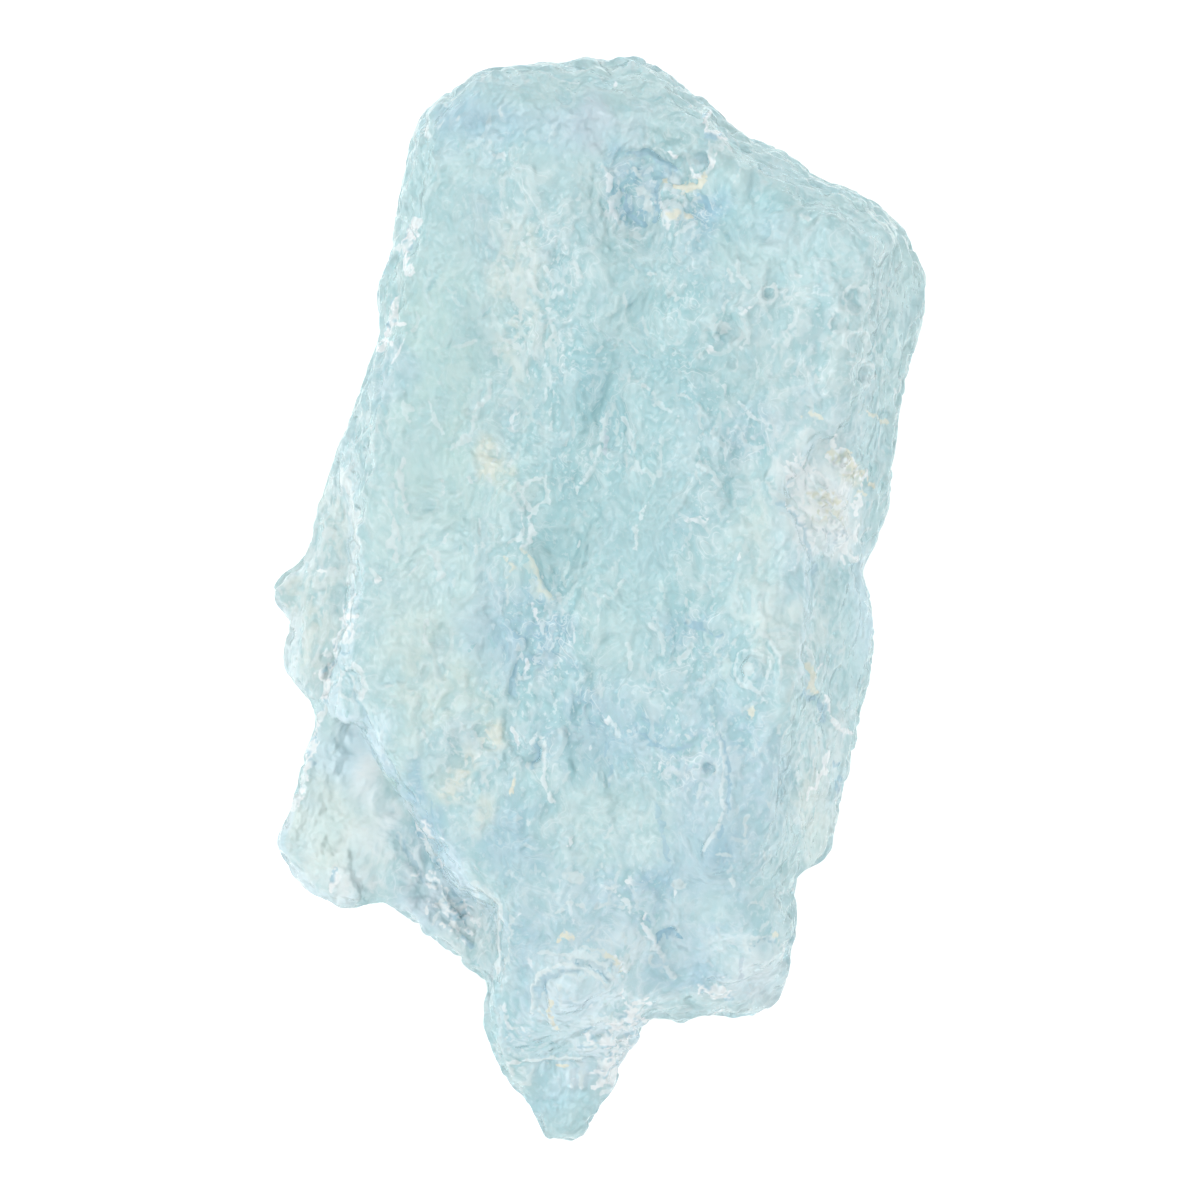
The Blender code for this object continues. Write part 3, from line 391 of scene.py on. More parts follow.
# Soft curls of the middle
LINES += [
    ("frost_and_highlight", 0.7, 0.06, 0.20, [(-5.6, 11.0), (-5.6, 10.2), (-6.1, 9.6), (-6.3, 8.6), (-6.8, 8.0),
                               (-7.4, 7.7)]),
    ("bright", 0.5, 0.06, 0.20, [(-9.9, 10.0), (-9.6, 9.6), (-9.1, 9.5)]),
    ("frost_and_highlight", 0.8, 0.06, 0.14, [(-9.9, 5.6), (-9.8, 4.9), (-9.5, 4.3)]),
    ("bright", 0.7, 0.08, 0.14, [(-4.1, 4.4), (-3.8, 3.6), (-4.0, 3.0)]),
    ("frost_and_highlight", 0.7, 0.05, 0.10, [(-4.1, 5.8), (-4.3, 5.2), (-3.9, 4.5)]),
    ("beige", 0.5, 0.08, 0.14, [(-3.6, 1.8), (-3.5, 1.0), (-3.2, 0.3)]),
    ("lavender", 0.9, 0.04, 0.12, [(0.3, 8.6), (0.35, 7.8), (0.2, 7.1)]),
    ("bright", 0.6, 0.06, 0.10, [(1.2, 1.0), (0.9, 0.5), (0.3, 0.4), (0.0, -0.1), (-0.05, -1.2)]),
    ("frost_and_highlight", 0.7, 0.06, 0.10, [(6.9, 8.7), (7.0, 8.0), (7.5, 7.6), (8.2, 7.6), (8.6, 8.0)]),
    ("frost_and_highlight", 0.7, 0.06, 0.11, [(7.2, 8.7), (7.3, 8.2), (7.8, 8.0)]),
    ("frost_and_highlight", 0.8, 0.06, 0.12, [(5.1, 8.8), (5.2, 8.0), (5.4, 7.4)]),
    ("bright", 0.5, 0.06, 0.10, [(5.9, 8.7), (6.2, 8.0), (6.8, 7.5)]),
    ("frost_and_highlight", 0.7, 0.06, 0.14, [(-8.6, 2.5), (-8.1, 2.3), (-7.9, 1.6), (-8.0, 0.9)]),
    ("frost_and_highlight", 0.7, 0.05, 0.12, [(3.0, 8.2), (3.0, 7.2), (2.9, 6.2)]),
    ("bright", 0.5, 0.06, 0.10, [(4.8, 4.9), (5.1, 4.5), (5.4, 4.4)]),
    ("bright", 0.5, 0.06, 0.12, [(3.8, 1.9), (3.9, 1.4), (4.2, 1.2)]),
    ("frost_and_highlight", 0.7, 0.05, 0.12, [(1.3, 11.4), (1.6, 10.9), (1.9, 10.8)]),
    ("bright", 0.5, 0.05, 0.10, [(-1.8, 11.8), (-1.6, 11.4), (-1.4, 11.2)]),
    ("bright", 0.5, 0.05, 0.10, [(7.8, 12.2), (7.9, 11.5), (7.9, 11.1)]),
    ("frost_and_highlight", 0.8, 0.05, 0.14, [(2.0, 10.9), (2.6, 10.4), (3.0, 10.0), (2.6, 9.8)]),
    ("deep_teal", 0.5, -0.08, 0.12, [(8.0, 6.4), (8.3, 5.6), (8.5, 5.0)]),
]

# Curls, flecks and dark strokes of the foot
LINES += [
    ("bright", 0.6, 0.10, 0.13, [(-3.2, -17.6), (-2.2, -17.75), (-1.0, -17.6), (0.0, -17.9), (0.6, -18.9)]),
    ("deep_blue", 0.8, -0.10, 0.10, [(-1.3, -18.0), (-0.3, -18.45), (0.5, -19.0)]),
    ("deep_blue", 0.6, -0.08, 0.10, [(0.4, -17.8), (0.6, -18.4)]),
    ("white", 0.8, 0.08, 0.16, [(0.8, -17.7), (0.95, -18.1), (1.2, -18.4)]),
    ("bright", 0.8, 0.06, 0.16, [(-2.1, -19.1), (-2.0, -19.5)]),
    ("deep_blue", 0.7, -0.08, 0.14, [(-2.9, -19.2), (-2.8, -19.6)]),
    ("bright", 0.8, 0.10, 0.14, [(-2.55, -20.0), (-2.55, -20.8), (-2.3, -21.4)]),
    ("frost_and_highlight", 0.8, 0.06, 0.14, [(-0.5, -20.9), (-0.3, -21.6)]),
    ("white", 0.6, 0.06, 0.10, [(-4.8, -20.3), (-4.6, -20.6)]),
    ("white", 0.6, 0.06, 0.10, [(-4.6, -21.1), (-4.4, -21.4)]),
    ("white", 0.6, 0.06, 0.10, [(-3.9, -21.4), (-3.7, -21.8)]),
    ("bright", 0.6, 0.06, 0.12, [(-4.0, -23.3), (-3.6, -23.8)]),
    ("bright", 0.6, 0.08, 0.12, [(-1.4, -24.0), (-1.4, -24.6)]),
    ("deep_blue", 1.0, -0.10, 0.13, [(2.9, -17.0), (3.2, -16.6), (3.7, -16.5), (4.1, -16.85)]),
    ("deep_blue", 0.8, -0.08, 0.10, [(3.4, -16.6), (3.5, -17.0)]),
    ("deep_blue", 0.7, -0.08, 0.10, [(2.4, -15.9), (2.6, -16.3)]),
    ("bright", 0.7, 0.10, 0.12, [(2.4, -16.4), (2.8, -16.9), (2.6, -17.4), (3.1, -17.6), (3.4, -18.2),
                                (3.7, -18.9)]),
    ("deep_blue", 0.8, -0.10, 0.10, [(7.7, -17.6), (7.8, -17.2), (8.2, -16.95), (8.7, -16.95)]),
    ("lavender", 0.9, -0.06, 0.12, [(7.05, -18.1), (7.0, -18.5), (7.1, -18.9)]),
    ("frost_and_highlight", 0.8, 0.06, 0.12, [(7.3, -15.2), (8.0, -15.1), (8.2, -15.4)]),
    ("bright", 0.6, 0.06, 0.12, [(9.0, -14.7), (9.6, -14.4)]),
    ("white", 0.7, 0.06, 0.12, [(1.0, -19.6), (1.6, -20.3)]),
    ("white", 0.6, 0.06, 0.14, [(5.6, -19.2), (6.1, -19.5), (6.4, -20.0)]),
    ("frost_and_highlight", 0.8, 0.06, 0.12, [(-0.3, -15.4), (0.6, -15.2), (1.2, -15.4)]),
    ("white", 0.6, 0.05, 0.16, [(1.45, -14.0), (1.7, -14.15)]),
]

# Fine threads beside the domes of the stub, and warm and white ridges and blue furrows in the cavity
LINES += [
    ("frost_and_highlight", 0.9, 0.08, 0.10, [(-2.9, -20.9), (-3.05, -19.9), (-2.6, -19.2), (-1.7, -18.75), (-0.8, -18.9)]),
    ("frost_and_highlight", 0.9, 0.08, 0.10, [(-1.2, -17.3), (-0.2, -17.5), (0.8, -18.1), (1.2, -18.9)]),
    ("pale", 0.9, 0.08, 0.10, [(0.1, -19.9), (0.6, -20.4), (0.4, -21.0)]),
    ("frost_and_highlight", 0.8, 0.06, 0.10, [(-4.4, -16.0), (-4.5, -17.2), (-4.7, -18.4)]),
    ("cream", 0.9, 0.12, 0.20, [(3.4, 20.7), (4.1, 20.5), (4.8, 20.7)]),
    ("white", 0.9, 0.10, 0.22, [(4.6, 21.4), (5.0, 21.2), (5.5, 21.6), (5.6, 22.2)]),
    ("cream", 0.8, 0.10, 0.18, [(3.6, 19.4), (4.2, 19.1), (4.7, 19.2)]),
    ("white", 0.7, 0.10, 0.20, [(2.9, 19.9), (3.3, 19.4), (3.4, 18.7)]),
    ("white", 0.7, 0.10, 0.18, [(0.4, 21.2), (0.3, 20.2), (0.7, 19.2)]),
    ("frost_and_highlight", 0.9, 0.12, 0.22, [(1.9, 20.6), (2.4, 20.2), (2.3, 19.5)]),
    ("frost_and_highlight", 0.9, 0.12, 0.20, [(1.2, 21.4), (1.7, 21.6), (2.0, 21.2)]),
    ("deep_blue", 0.7, -0.12, 0.14, [(0.9, 20.8), (1.3, 20.1), (1.5, 19.2), (2.3, 18.6)]),
    ("deep_blue", 0.5, -0.12, 0.14, [(1.4, 22.2), (2.3, 22.4), (3.1, 22.0), (3.4, 21.4)]),
    ("deep_blue", 0.7, -0.10, 0.13, [(2.8, 20.7), (2.9, 19.9), (2.7, 19.0)]),
    ("deep_blue", 0.7, -0.10, 0.16, [(5.0, 20.2), (5.5, 19.5), (6.3, 19.1)]),
]

# Thin rings: half widths and centre
for across, along, x, y in [(0.62, 0.70, 12.8, 15.0), (0.60, 0.62, 12.8, 12.9), (0.62, 0.66, 13.0, 11.3),
                            (0.46, 0.50, 11.9, 13.9), (0.66, 0.90, -3.2, 5.3), (0.66, 0.82, -12.4, -4.2),
                            (0.42, 0.44, 8.4, 15.3), (0.80, 0.76, 8.2, -17.5), (0.90, 0.95, 7.6, -3.4)]:
    ring = [(x + across * math.cos(turn), y + along * math.sin(turn)) for turn in np.linspace(-0.6, 4.6, 12)]
    LINES.append(("bright", 0.7, 0.08, 0.12, ring))

# Ridges broken into white crumbs: half width, and the places they pass
CRUMBLES = [
    (0.24, [(-9.2, 18.9), (-9.4, 18.2), (-9.8, 17.5), (-9.7, 17.0)]),
    (0.12, [(-9.6, 17.0), (-9.5, 16.2)]),
    (0.16, [(-10.2, 15.1), (-10.2, 14.2), (-10.5, 13.3), (-10.8, 12.6)]),
    (0.20, [(5.3, 24.2), (5.3, 23.5), (5.9, 23.2)]),
    (0.16, [(-12.3, 0.1), (-12.5, -0.9), (-12.8, -1.8)]),
    (0.30, [(-12.8, -1.6), (-13.2, -2.6), (-13.6, -3.6), (-13.6, -4.6)]),
    (0.18, [(-13.6, -4.6), (-13.9, -5.8)]),
    (0.14, [(-14.0, -6.2), (-14.4, -7.4), (-14.8, -8.8), (-15.2, -10.4)]),
    (0.45, [(-0.3, -21.9), (0.5, -21.8), (1.1, -22.1)]),
    (0.28, [(0.3, -21.3), (1.3, -21.1), (2.1, -20.6)]),
    (0.30, [(1.4, -22.0), (1.0, -23.2), (0.4, -24.2)]),
    (0.34, [(0.8, -22.2), (0.4, -23.2), (0.0, -24.0)]),
    (0.20, [(1.6, -21.8), (2.0, -21.2)]),
    (0.36, [(5.4, -19.7), (6.3, -19.8)]),
    (0.16, [(-13.2, -13.6), (-13.3, -14.4)]),
    (0.50, [(-8.6, -13.8), (-7.6, -15.2), (-6.4, -16.4)]),
    (0.24, [(-8.9, -11.2), (-8.0, -13.2)]),
]

# Warm and white splinters of the cloud at the right: looks, half width, and the places they pass
CLOUD = [
    (("white", "white", "bright"), 0.80, [(10.0, 6.6), (10.8, 5.0), (11.4, 4.0), (12.2, 2.8)]),
    (("cream", "white"), 0.40, [(11.6, 7.4), (12.4, 6.6), (12.8, 5.6)]),
    (("cream", "cream", "beige"), 0.30, [(11.9, 7.2), (12.5, 6.4)]),
    (("cream", "white"), 0.34, [(10.8, 5.3), (11.6, 4.8), (12.3, 5.0)]),
    (("white", "lavender"), 0.40, [(11.3, 3.9), (11.9, 3.0)]),
]

# Round forms: height of the middle, half widths across and along the axis, centre, how much painted shade
# inside
ROUNDS = [
    (-0.08, 0.66, 0.82, (-12.45, -4.15), 0.05),
    (-0.18, 0.46, 0.34, (5.4, -8.4), 0.55),
    (-0.14, 0.62, 0.66, (12.8, 15.0), 0.15),
    (-0.14, 0.60, 0.62, (12.8, 12.9), 0.15),
    (-0.14, 0.62, 0.66, (13.0, 11.3), 0.15),
    (-0.16, 0.46, 0.50, (11.9, 13.9), 0.15),
    (-0.20, 0.42, 0.44, (8.4, 15.3), 0.10),
    (-0.18, 0.70, 0.80, (6.5, 13.6), 0.10),
    (-0.16, 0.30, 0.36, (6.6, 11.8), 0.10),
    (-0.24, 0.60, 0.60, (5.0, 21.9), 0.45),
    (-0.14, 0.50, 0.60, (-9.6, 14.0), 0.10),
    (-0.14, 0.40, 0.60, (-3.2, -7.7), 0.35),
    (-0.14, 0.34, 0.34, (3.6, -16.6), 0.80),
    (-0.10, 0.55, 0.60, (8.2, -17.5), 0.15),
    (-0.10, 0.26, 0.26, (1.4, -14.1), 0.10),
    (0.22, 0.75, 0.80, (7.7, -3.4), 0.0),
    (0.22, 0.60, 0.60, (-12.4, -14.6), 0.0),
    (0.18, 0.40, 0.60, (3.3, 20.6), 0.0),
    (0.16, 0.55, 0.50, (1.3, 20.0), 0.0),
]

# Small spots of colour: look, half widths, centre
SPOTS = [
    ("cream", 0.20, 0.20, (8.75, -16.75)),
    ("white", 0.22, 0.16, (1.4, -14.1)),
    ("white", 0.16, 0.30, (0.4, -6.0)),
    ("frost_and_highlight", 0.45, 0.35, (6.1, 13.6)),
    ("white", 0.20, 0.26, (5.5, 12.5)),
    ("frost_and_highlight", 0.34, 0.34, (7.5, -3.5)),
    ("frost_and_highlight", 0.50, 0.35, (-1.2, -13.9)),
    ("frost_and_highlight", 0.40, 0.30, (3.9, -14.2)),
    ("cream", 0.20, 0.30, (7.6, -5.6)),
    ("white", 0.24, 0.20, (-11.1, 1.0)),
    ("frost_and_highlight", 0.30, 0.34, (-13.6, 3.3)),
    ("frost_and_highlight", 0.34, 0.30, (-13.4, 1.4)),
    ("frost_and_highlight", 0.30, 0.26, (-10.5, 2.8)),
]

# How thickly etched the show face is, from 0 to 1, over zones: level, centre, half sizes
BUSY_ALL_OVER = 0.55
BUSY_ZONES = [
    (0.20, (-3.0, 24.8), (7.0, 2.0)),
    (0.25, (-7.4, 13.5), (2.4, 6.5)),
    (1.00, (-3.4, 14.8), (1.7, 5.0)),
    (0.20, (8.5, 21.2), (5.0, 1.8)),
    (0.25, (8.2, 17.8), (3.4, 2.4)),
    (0.85, (2.6, 20.0), (2.6, 2.6)),
    (0.75, (11.6, 14.0), (2.8, 4.0)),
    (0.10, (15.6, 14.0), (1.0, 5.0)),
    (0.30, (-8.6, 1.0), (3.2, 7.5)),
    (0.30, (1.4, 3.0), (2.6, 4.0)),
    (0.90, (6.6, 7.6), (2.4, 2.8)),
    (0.90, (-3.4, -2.0), (1.8, 4.0)),
    (0.70, (-13.6, 2.6), (1.6, 3.4)),
    (1.00, (0.6, -6.8), (4.6, 2.8)),
    (0.85, (6.8, -2.6), (2.6, 2.4)),
    (0.35, (1.6, -11.4), (3.6, 2.4)),
    (0.06, (-13.2, -10.0), (3.0, 5.0)),
    (0.35, (-7.6, -15.2), (1.8, 1.6)),
    (0.45, (-8.6, -11.0), (1.0, 2.0)),
    (0.15, (11.2, 5.0), (2.0, 2.8)),
    (0.60, (-7.0, -8.4), (2.4, 2.2)),
    (0.10, (8.0, -19.0), (1.8, 1.7)),
    (0.10, (13.2, -1.4), (0.9, 3.4)),
    (0.25, (-1.4, -20.0), (2.0, 1.8)),
    (0.30, (-2.0, -25.6), (1.6, 1.6)),
]
BUSY_ELSEWHERE = 0.45

# Where steep walls stand inside the outline, which get painted light: centre, half sizes
INNER_WALLS = [
    ((-12.2, -6.4), (2.0, 2.6)),
    ((-10.4, -9.4), (2.2, 2.6)),
    ((-8.4, -13.0), (2.2, 2.8)),
    ((-6.6, -15.8), (1.8, 1.8)),
    ((10.0, 5.4), (1.6, 3.4)),
    ((10.2, -1.0), (1.0, 3.6)),
    ((-12.8, 1.0), (1.0, 6.0)),
    ((-14.9, -1.4), (1.5, 3.4)),
    ((-14.4, -12.8), (2.2, 2.8)),
    ((13.3, -0.2), (1.1, 2.8)),
    ((1.0, -22.4), (1.5, 2.4)),
]

# Where ledges run out softly: centre, half sizes
MELTS = [
    ((10.4, -1.6), (1.8, 3.4)),
    ((10.0, -8.8), (1.3, 5.0)),
    ((-12.4, -6.2), (2.6, 2.4)),
    ((-10.6, -8.8), (2.0, 2.4)),
    ((-8.6, -12.4), (2.2, 2.8)),
    ((-9.6, 18.4), (1.0, 1.6)),
    ((-12.8, -11.6), (2.4, 2.8)),
    ((10.6, 4.8), (1.8, 3.2)),
    ((10.2, -15.4), (1.0, 1.8)),
    ((1.4, 13.4), (2.4, 5.4)),
]
MELT_REACH = 1.4

# Scattered etching: how many over the whole crystal, and the seed
PITS = 1600
DASHES = 3600
SPLINTERS_PER_MM = 12
SEED = 11

# Pits, in millimetres: radius, depth and length against the radius, and the share that are domes
PIT_RADII = (0.20, 0.75)
PIT_DEPTHS = (0.06, 0.16)
PIT_STRETCH = (0.9, 1.8)
DOME_SHARE = 0.3
# How much painted shade fills each pit
PIT_PAINTED_SHADE = 0.15

# Small crescents, in millimetres, and the shares that are white and dark
DASH_LENGTHS = (0.5, 2.2)
DASH_HALF_WIDTHS = (0.08, 0.15)
DASH_HEIGHTS = (0.01, 0.05)
DASH_STRENGTHS = (0.2, 0.8)
WHITE_DASHES = 0.08
DARK_DASHES = 0.22
ALONG_AXIS = 0.75
HEADING_SPREAD = 0.5

# Splinters, in millimetres
SPLINTER_HALF_LENGTHS = (0.08, 0.40)
SPLINTER_HALF_WIDTHS = (0.07, 0.15)
SPLINTER_HEIGHTS = (-0.05, 0.16)

# Ridges: how much of their height and width shows, how far they stray, and where they are worn away
LINE_RELIEF = 0.8
LINE_WIDTH = 0.85
CURL = 0.22
CURL_OF_WHOLE_LINES = 0.4
WEAR = 0.7
LOST, WHOLE = -0.65, -0.25

# How far up the skin points where the show face begins, where marks stand up, and where walls are steep
SHOW_FACE = (-0.05, 0.25)
STANDING = (0.15, 0.50)
STEEP = (0.15, 0.55)
SIDES = (0.25, 0.55)
WALLS = (0.40, 0.75)
ETCHING_LOST_ON_STEEP = 0.7

# Relief and width, in millimetres, of the fine grain, the soft swell and the chips of the steep sides, and
# a swelling of the sides between four heights, where it starts, is full, fades and ends
GRAIN_RELIEF, GRAIN_REACH = 0.05, 0.50
SWELL_RELIEF, SWELL_REACH = 0.07, 1.5
CHIP_RELIEF, CHIP_REACH = 0.22, 0.8
SHOULDER_RELIEF = 0.12
SHOULDER_HEIGHTS = (8.5, 12.5, 13.0, 15.5)

# How strongly the skin changes colour: soft patches, small spots, painted shade on rims of the outline,
# painted light on inner walls
BLUE_PATCHES, PALE_PATCHES = 0.18, 0.22
SPOTS_EVERYWHERE, SPOTS_WHERE_BUSY = 0.06, 0.18
RIM_PAINTED_SHADE, RIM_WIDTH = 0.4, 0.26
WALL_PAINTED_LIGHT = 0.5

# How much sooner the back is thinned out than the rest, and plain places than marked ones
BACK_FIRST = 20.0
PLAIN_FIRST = 4.0

# The stone: see-through share, gloss, and what it absorbs inside
SEE_THROUGH = 0.6
ROUGHNESS = 0.22
IOR = 1.577
INSIDE_COLOUR = (0.60, 0.88, 0.92)
INSIDE_DENSITY = 8.0

# Fine pattern of the skin: features to the metre, how far they stray, and their relief
DRIFT_RATE, DRIFT_REACH = 420.0, 0.8 * MM
SCALES_RATE, SMALL_SCALES_RATE, GRAIN_RATE = 1000.0, 2100.0, 4200.0
FINE_RELIEF, FINE_RELIEF_STRENGTH = 0.60 * MM, 0.8
PALEST = 0.88

# The table, in millimetres, and how white it is
TABLE_SIDE = 1200.0
TABLE_WHITE = 0.93


def smooth_step(low, high, value):
    share = np.clip((value - low) / (high - low), 0.0, 1.0)
    return share * share * (3.0 - 2.0 * share)


def bell(distance, half_width):
    return np.exp(-((distance / half_width) ** 2))


def skin_colour(name):
    """The value of the skin, in linear light, that shows one of the palette's colours."""
    seen = np.array(PALETTE[name]) / 255.0
    linear = ((seen + 0.055) / 1.055) ** 2.4
    return np.minimum(linear / SKIN_GAIN, 1.0)


def evaluated_mesh(obj):
    bpy.context.view_layer.update()
    graph = bpy.context.evaluated_depsgraph_get()
    return bpy.data.meshes.new_from_object(obj.evaluated_get(graph))


def apply_modifiers(obj):
    mesh = evaluated_mesh(obj)
    obj.modifiers.clear()
    old = obj.data
    obj.data = mesh
    bpy.data.meshes.remove(old)


def smooth(obj, name, reach):
    """A modifier that smooths a mesh over so many millimetres."""
    soft = obj.modifiers.new(name, "SMOOTH")
    soft.factor = 0.5
    soft.iterations = round(2.0 * (reach / GRID) ** 2)
    return soft


def weigh(obj, name, tenths):
    """Stores the weight of every point, in tenths, as a vertex group."""
    group = obj.vertex_groups.new(name=name)
    for step in range(1, 11):
        group.add(np.flatnonzero(tenths == step).tolist(), 0.1 * step, "REPLACE")


def melt(obj):
    """Softens the ledges where they run out."""
    surface = Surface(obj.data)
    weigh(obj, "melt", np.ceil(10.0 * surface.inside(MELTS, 0.5, 1.2) * surface.facing))
    smooth(obj, "melt", MELT_REACH).vertex_group = "melt"
    apply_modifiers(obj)
    obj.vertex_groups.clear()


def fine_copy(cad_node):
    """A copy of a CAD node on a fine even grid, with its facets smoothed away."""
    obj = bpy.data.objects.new("aquamarine", cad_node.data.copy())
    bpy.context.scene.collection.objects.link(obj)
    obj.matrix_world = cad_node.matrix_world.copy()
    skin = obj.modifiers.new("even_grid", "REMESH")
    skin.mode = "VOXEL"
    skin.voxel_size = GRID * MM
    smooth(obj, "no_facets", SMOOTHING_REACH)
    apply_modifiers(obj)
    melt(obj)
    return obj


class Surface:
    """The points of a mesh in millimetres, how far the etching lifts each one, and its paint."""

    def __init__(self, mesh):
        self.mesh = mesh
        count = len(mesh.vertices)
        flat = np.empty(count * 3, np.float32)
        mesh.vertices.foreach_get("co", flat)
        self.points = flat.reshape(-1, 3).astype(float) / MM
        mesh.vertex_normals.foreach_get("vector", flat)
        self.normals = flat.reshape(-1, 3).astype(float)
        above = self.points[:, 2] - WIDEST_HEIGHT
        scale = CAMERA_DISTANCE / (CAMERA_DISTANCE - above)
        self.seen = self.points[:, :2] * scale[:, None]
        self.facing = smooth_step(*SHOW_FACE, self.normals[:, 2])
        self.standing = smooth_step(*STANDING, self.normals[:, 2])
        self.lift = np.zeros(count)
        # Painted shade of pits and of the strokes beside crescents
        self.dark = np.zeros(count)
        self.mark = np.zeros(count)
        self.mark_share = np.zeros(count)
        self.mark_look = np.zeros(count, int)
        self.by_seen_x = np.argsort(self.seen[:, 0])
        self.seen_x = self.seen[self.by_seen_x, 0]
        self.by_x = np.argsort(self.points[:, 0])
        self.x = self.points[self.by_x, 0]

    def roughen(self):
        """Noise that wears, fades and bends the ridges."""
        self.wear = cloud(self, 0.35, 1.0, 44.0)
        self.fade = cloud(self, 0.9, 1.0, 63.0)
        self.curl = np.stack([cloud(self, 0.55, 1.0, 81.0), cloud(self, 0.55, 1.0, 93.0)], 1)

    def reach(self, centre, half_sizes, stray=0.0):
        """How far each point is from a centre, against half sizes."""
        return np.hypot(*((self.seen - centre + stray) / half_sizes).T)

    def inside(self, places, start, end):
        """How far each point is inside one of several ellipses, from 0 to 1."""
        share = np.zeros(len(self.points))
        for centre, half_sizes in places:
            share = np.maximum(share, 1.0 - smooth_step(start, end, self.reach(centre, half_sizes)))
        return share

    def seen_near(self, low, high):
        """The points of the show face that are seen inside a box."""
        first, last = np.searchsorted(self.seen_x, (low[0], high[0]))
        found = self.by_seen_x[first:last]
        y = self.seen[found, 1]
        return found[(y > low[1]) & (y < high[1]) & (self.facing[found] > 0)]

    def round_about(self, at, heading, reach):
        """The points near point number at, and where they lie to the side of and ahead of it."""
        centre, normal = self.points[at], self.normals[at]
        first, last = np.searchsorted(self.x, (centre[0] - reach, centre[0] + reach))
        found = self.by_x[first:last]
        found = found[np.abs(self.points[found, 1] - centre[1]) < reach]
        gap = self.points[found] - centre
        near = (gap ** 2).sum(1) < reach ** 2
        found, gap = found[near], gap[near]
        ahead = np.array((*AXIS, 0.0))
        ahead = ahead - normal * (ahead @ normal) + 1e-6
        ahead /= np.linalg.norm(ahead)
        side = np.cross(ahead, normal)
        ahead, side = (ahead * math.cos(heading) + side * math.sin(heading),
                       side * math.cos(heading) - ahead * math.sin(heading))
        return found, gap @ side, gap @ ahead

    def draw(self, look, strength, found, shape):
        """Lays a crisp mark of one look, where no stronger mark is."""
        over = shape > self.mark[found]
        found = found[over]
        self.mark[found] = shape[over]
        self.mark_share[found] = strength
        self.mark_look[found] = list(PALETTE).index(look)

    # Painted shade: darkens the skin at these points
    def shade(self, found, strength):
        self.dark[found] = np.maximum(self.dark[found], strength)

    def line(self, look, strength, height, half_width, path, whole=False):
        """A thin ridge or furrow, worn away in places unless it is to stay whole."""
        path = np.array(path, float)
        reach = 3.0 * half_width + CURL
        found = self.seen_near(path.min(0) - reach, path.max(0) + reach)
        if not len(found):
            return
        plan = self.seen[found] + (CURL_OF_WHOLE_LINES if whole else 1.0) * CURL * self.curl[found]
        nearest = np.full(len(plan), np.inf)
        for start, end in zip(path, path[1:]):
            run = end - start
            along = np.clip((plan - start) @ run / (run @ run), 0.0, 1.0)
            gap = plan - start - along[:, None] * run
            nearest = np.minimum(nearest, np.hypot(gap[:, 0], gap[:, 1]))
        width = LINE_WIDTH * half_width * (1.0 + WEAR * self.fade[found])
        shape = bell(nearest * (1.0 + WEAR * self.wear[found]), width) * self.facing[found]
        self.lift[found] += LINE_RELIEF * height * shape * self.standing[found]
        if not whole:
            shape = shape * smooth_step(LOST, WHOLE, self.fade[found])
        self.draw(look, strength, found, shape * (1.0 - 0.5 * np.maximum(self.wear[found], 0.0)))

    def spot(self, look, strength, height, across, along, centre):
        """A small raised spot of one look."""
        centre = np.array(centre, float)
        reach = 2.2 * max(across, along)
        found = self.seen_near(centre - reach, centre + reach)
        if len(found):
            gap = self.seen[found] - centre
            radius = np.hypot(gap @ ACROSS / across, gap @ AXIS / along)
            shape = (1.0 - smooth_step(0.4, 1.5, radius)) * self.facing[found]
            self.lift[found] += height * shape * self.standing[found]
            self.draw(look, strength, found, shape)

    def bowl(self, height, across, along, centre, dark):
        """A round pit with a raised rim, painted shade inside and a painted highlight on its lit side, or a
        dome if its height is above zero.
        """
        centre = np.array(centre, float)
        reach = 2.0 * max(across, along)
        found = self.seen_near(centre - reach, centre + reach)
        if len(found):
            gap = self.seen[found] - centre
            place = np.stack([gap @ ACROSS / across, gap @ AXIS / along], 1)
            self.bowl_at(found, place, self.standing[found], height, dark)

    def bowl_at(self, found, place, share, height, dark):
        """The same for points that are found already. place is theirs, against the radius."""
        radius = np.hypot(*place.T)
        shape = height * (1.0 - smooth_step(0.3, 1.0, radius))
        if height < 0:
            ring = bell(radius - 1.05, 0.20)
            shape -= 0.35 * height * ring
            # Painted highlight: a pale crescent on the side of the rim that faces the light
            lit = smooth_step(-0.5, 0.9, place @ LIT_SIDE / np.maximum(radius, 0.2))
            self.draw("frost_and_highlight", min(0.8, 0.2 - 2.5 * height), found, ring * lit * share)
            # Painted shade inside the pit
            self.shade(found, dark * (1.0 - smooth_step(0.4, 1.0, radius)) * share)
        self.lift[found] += shape * share

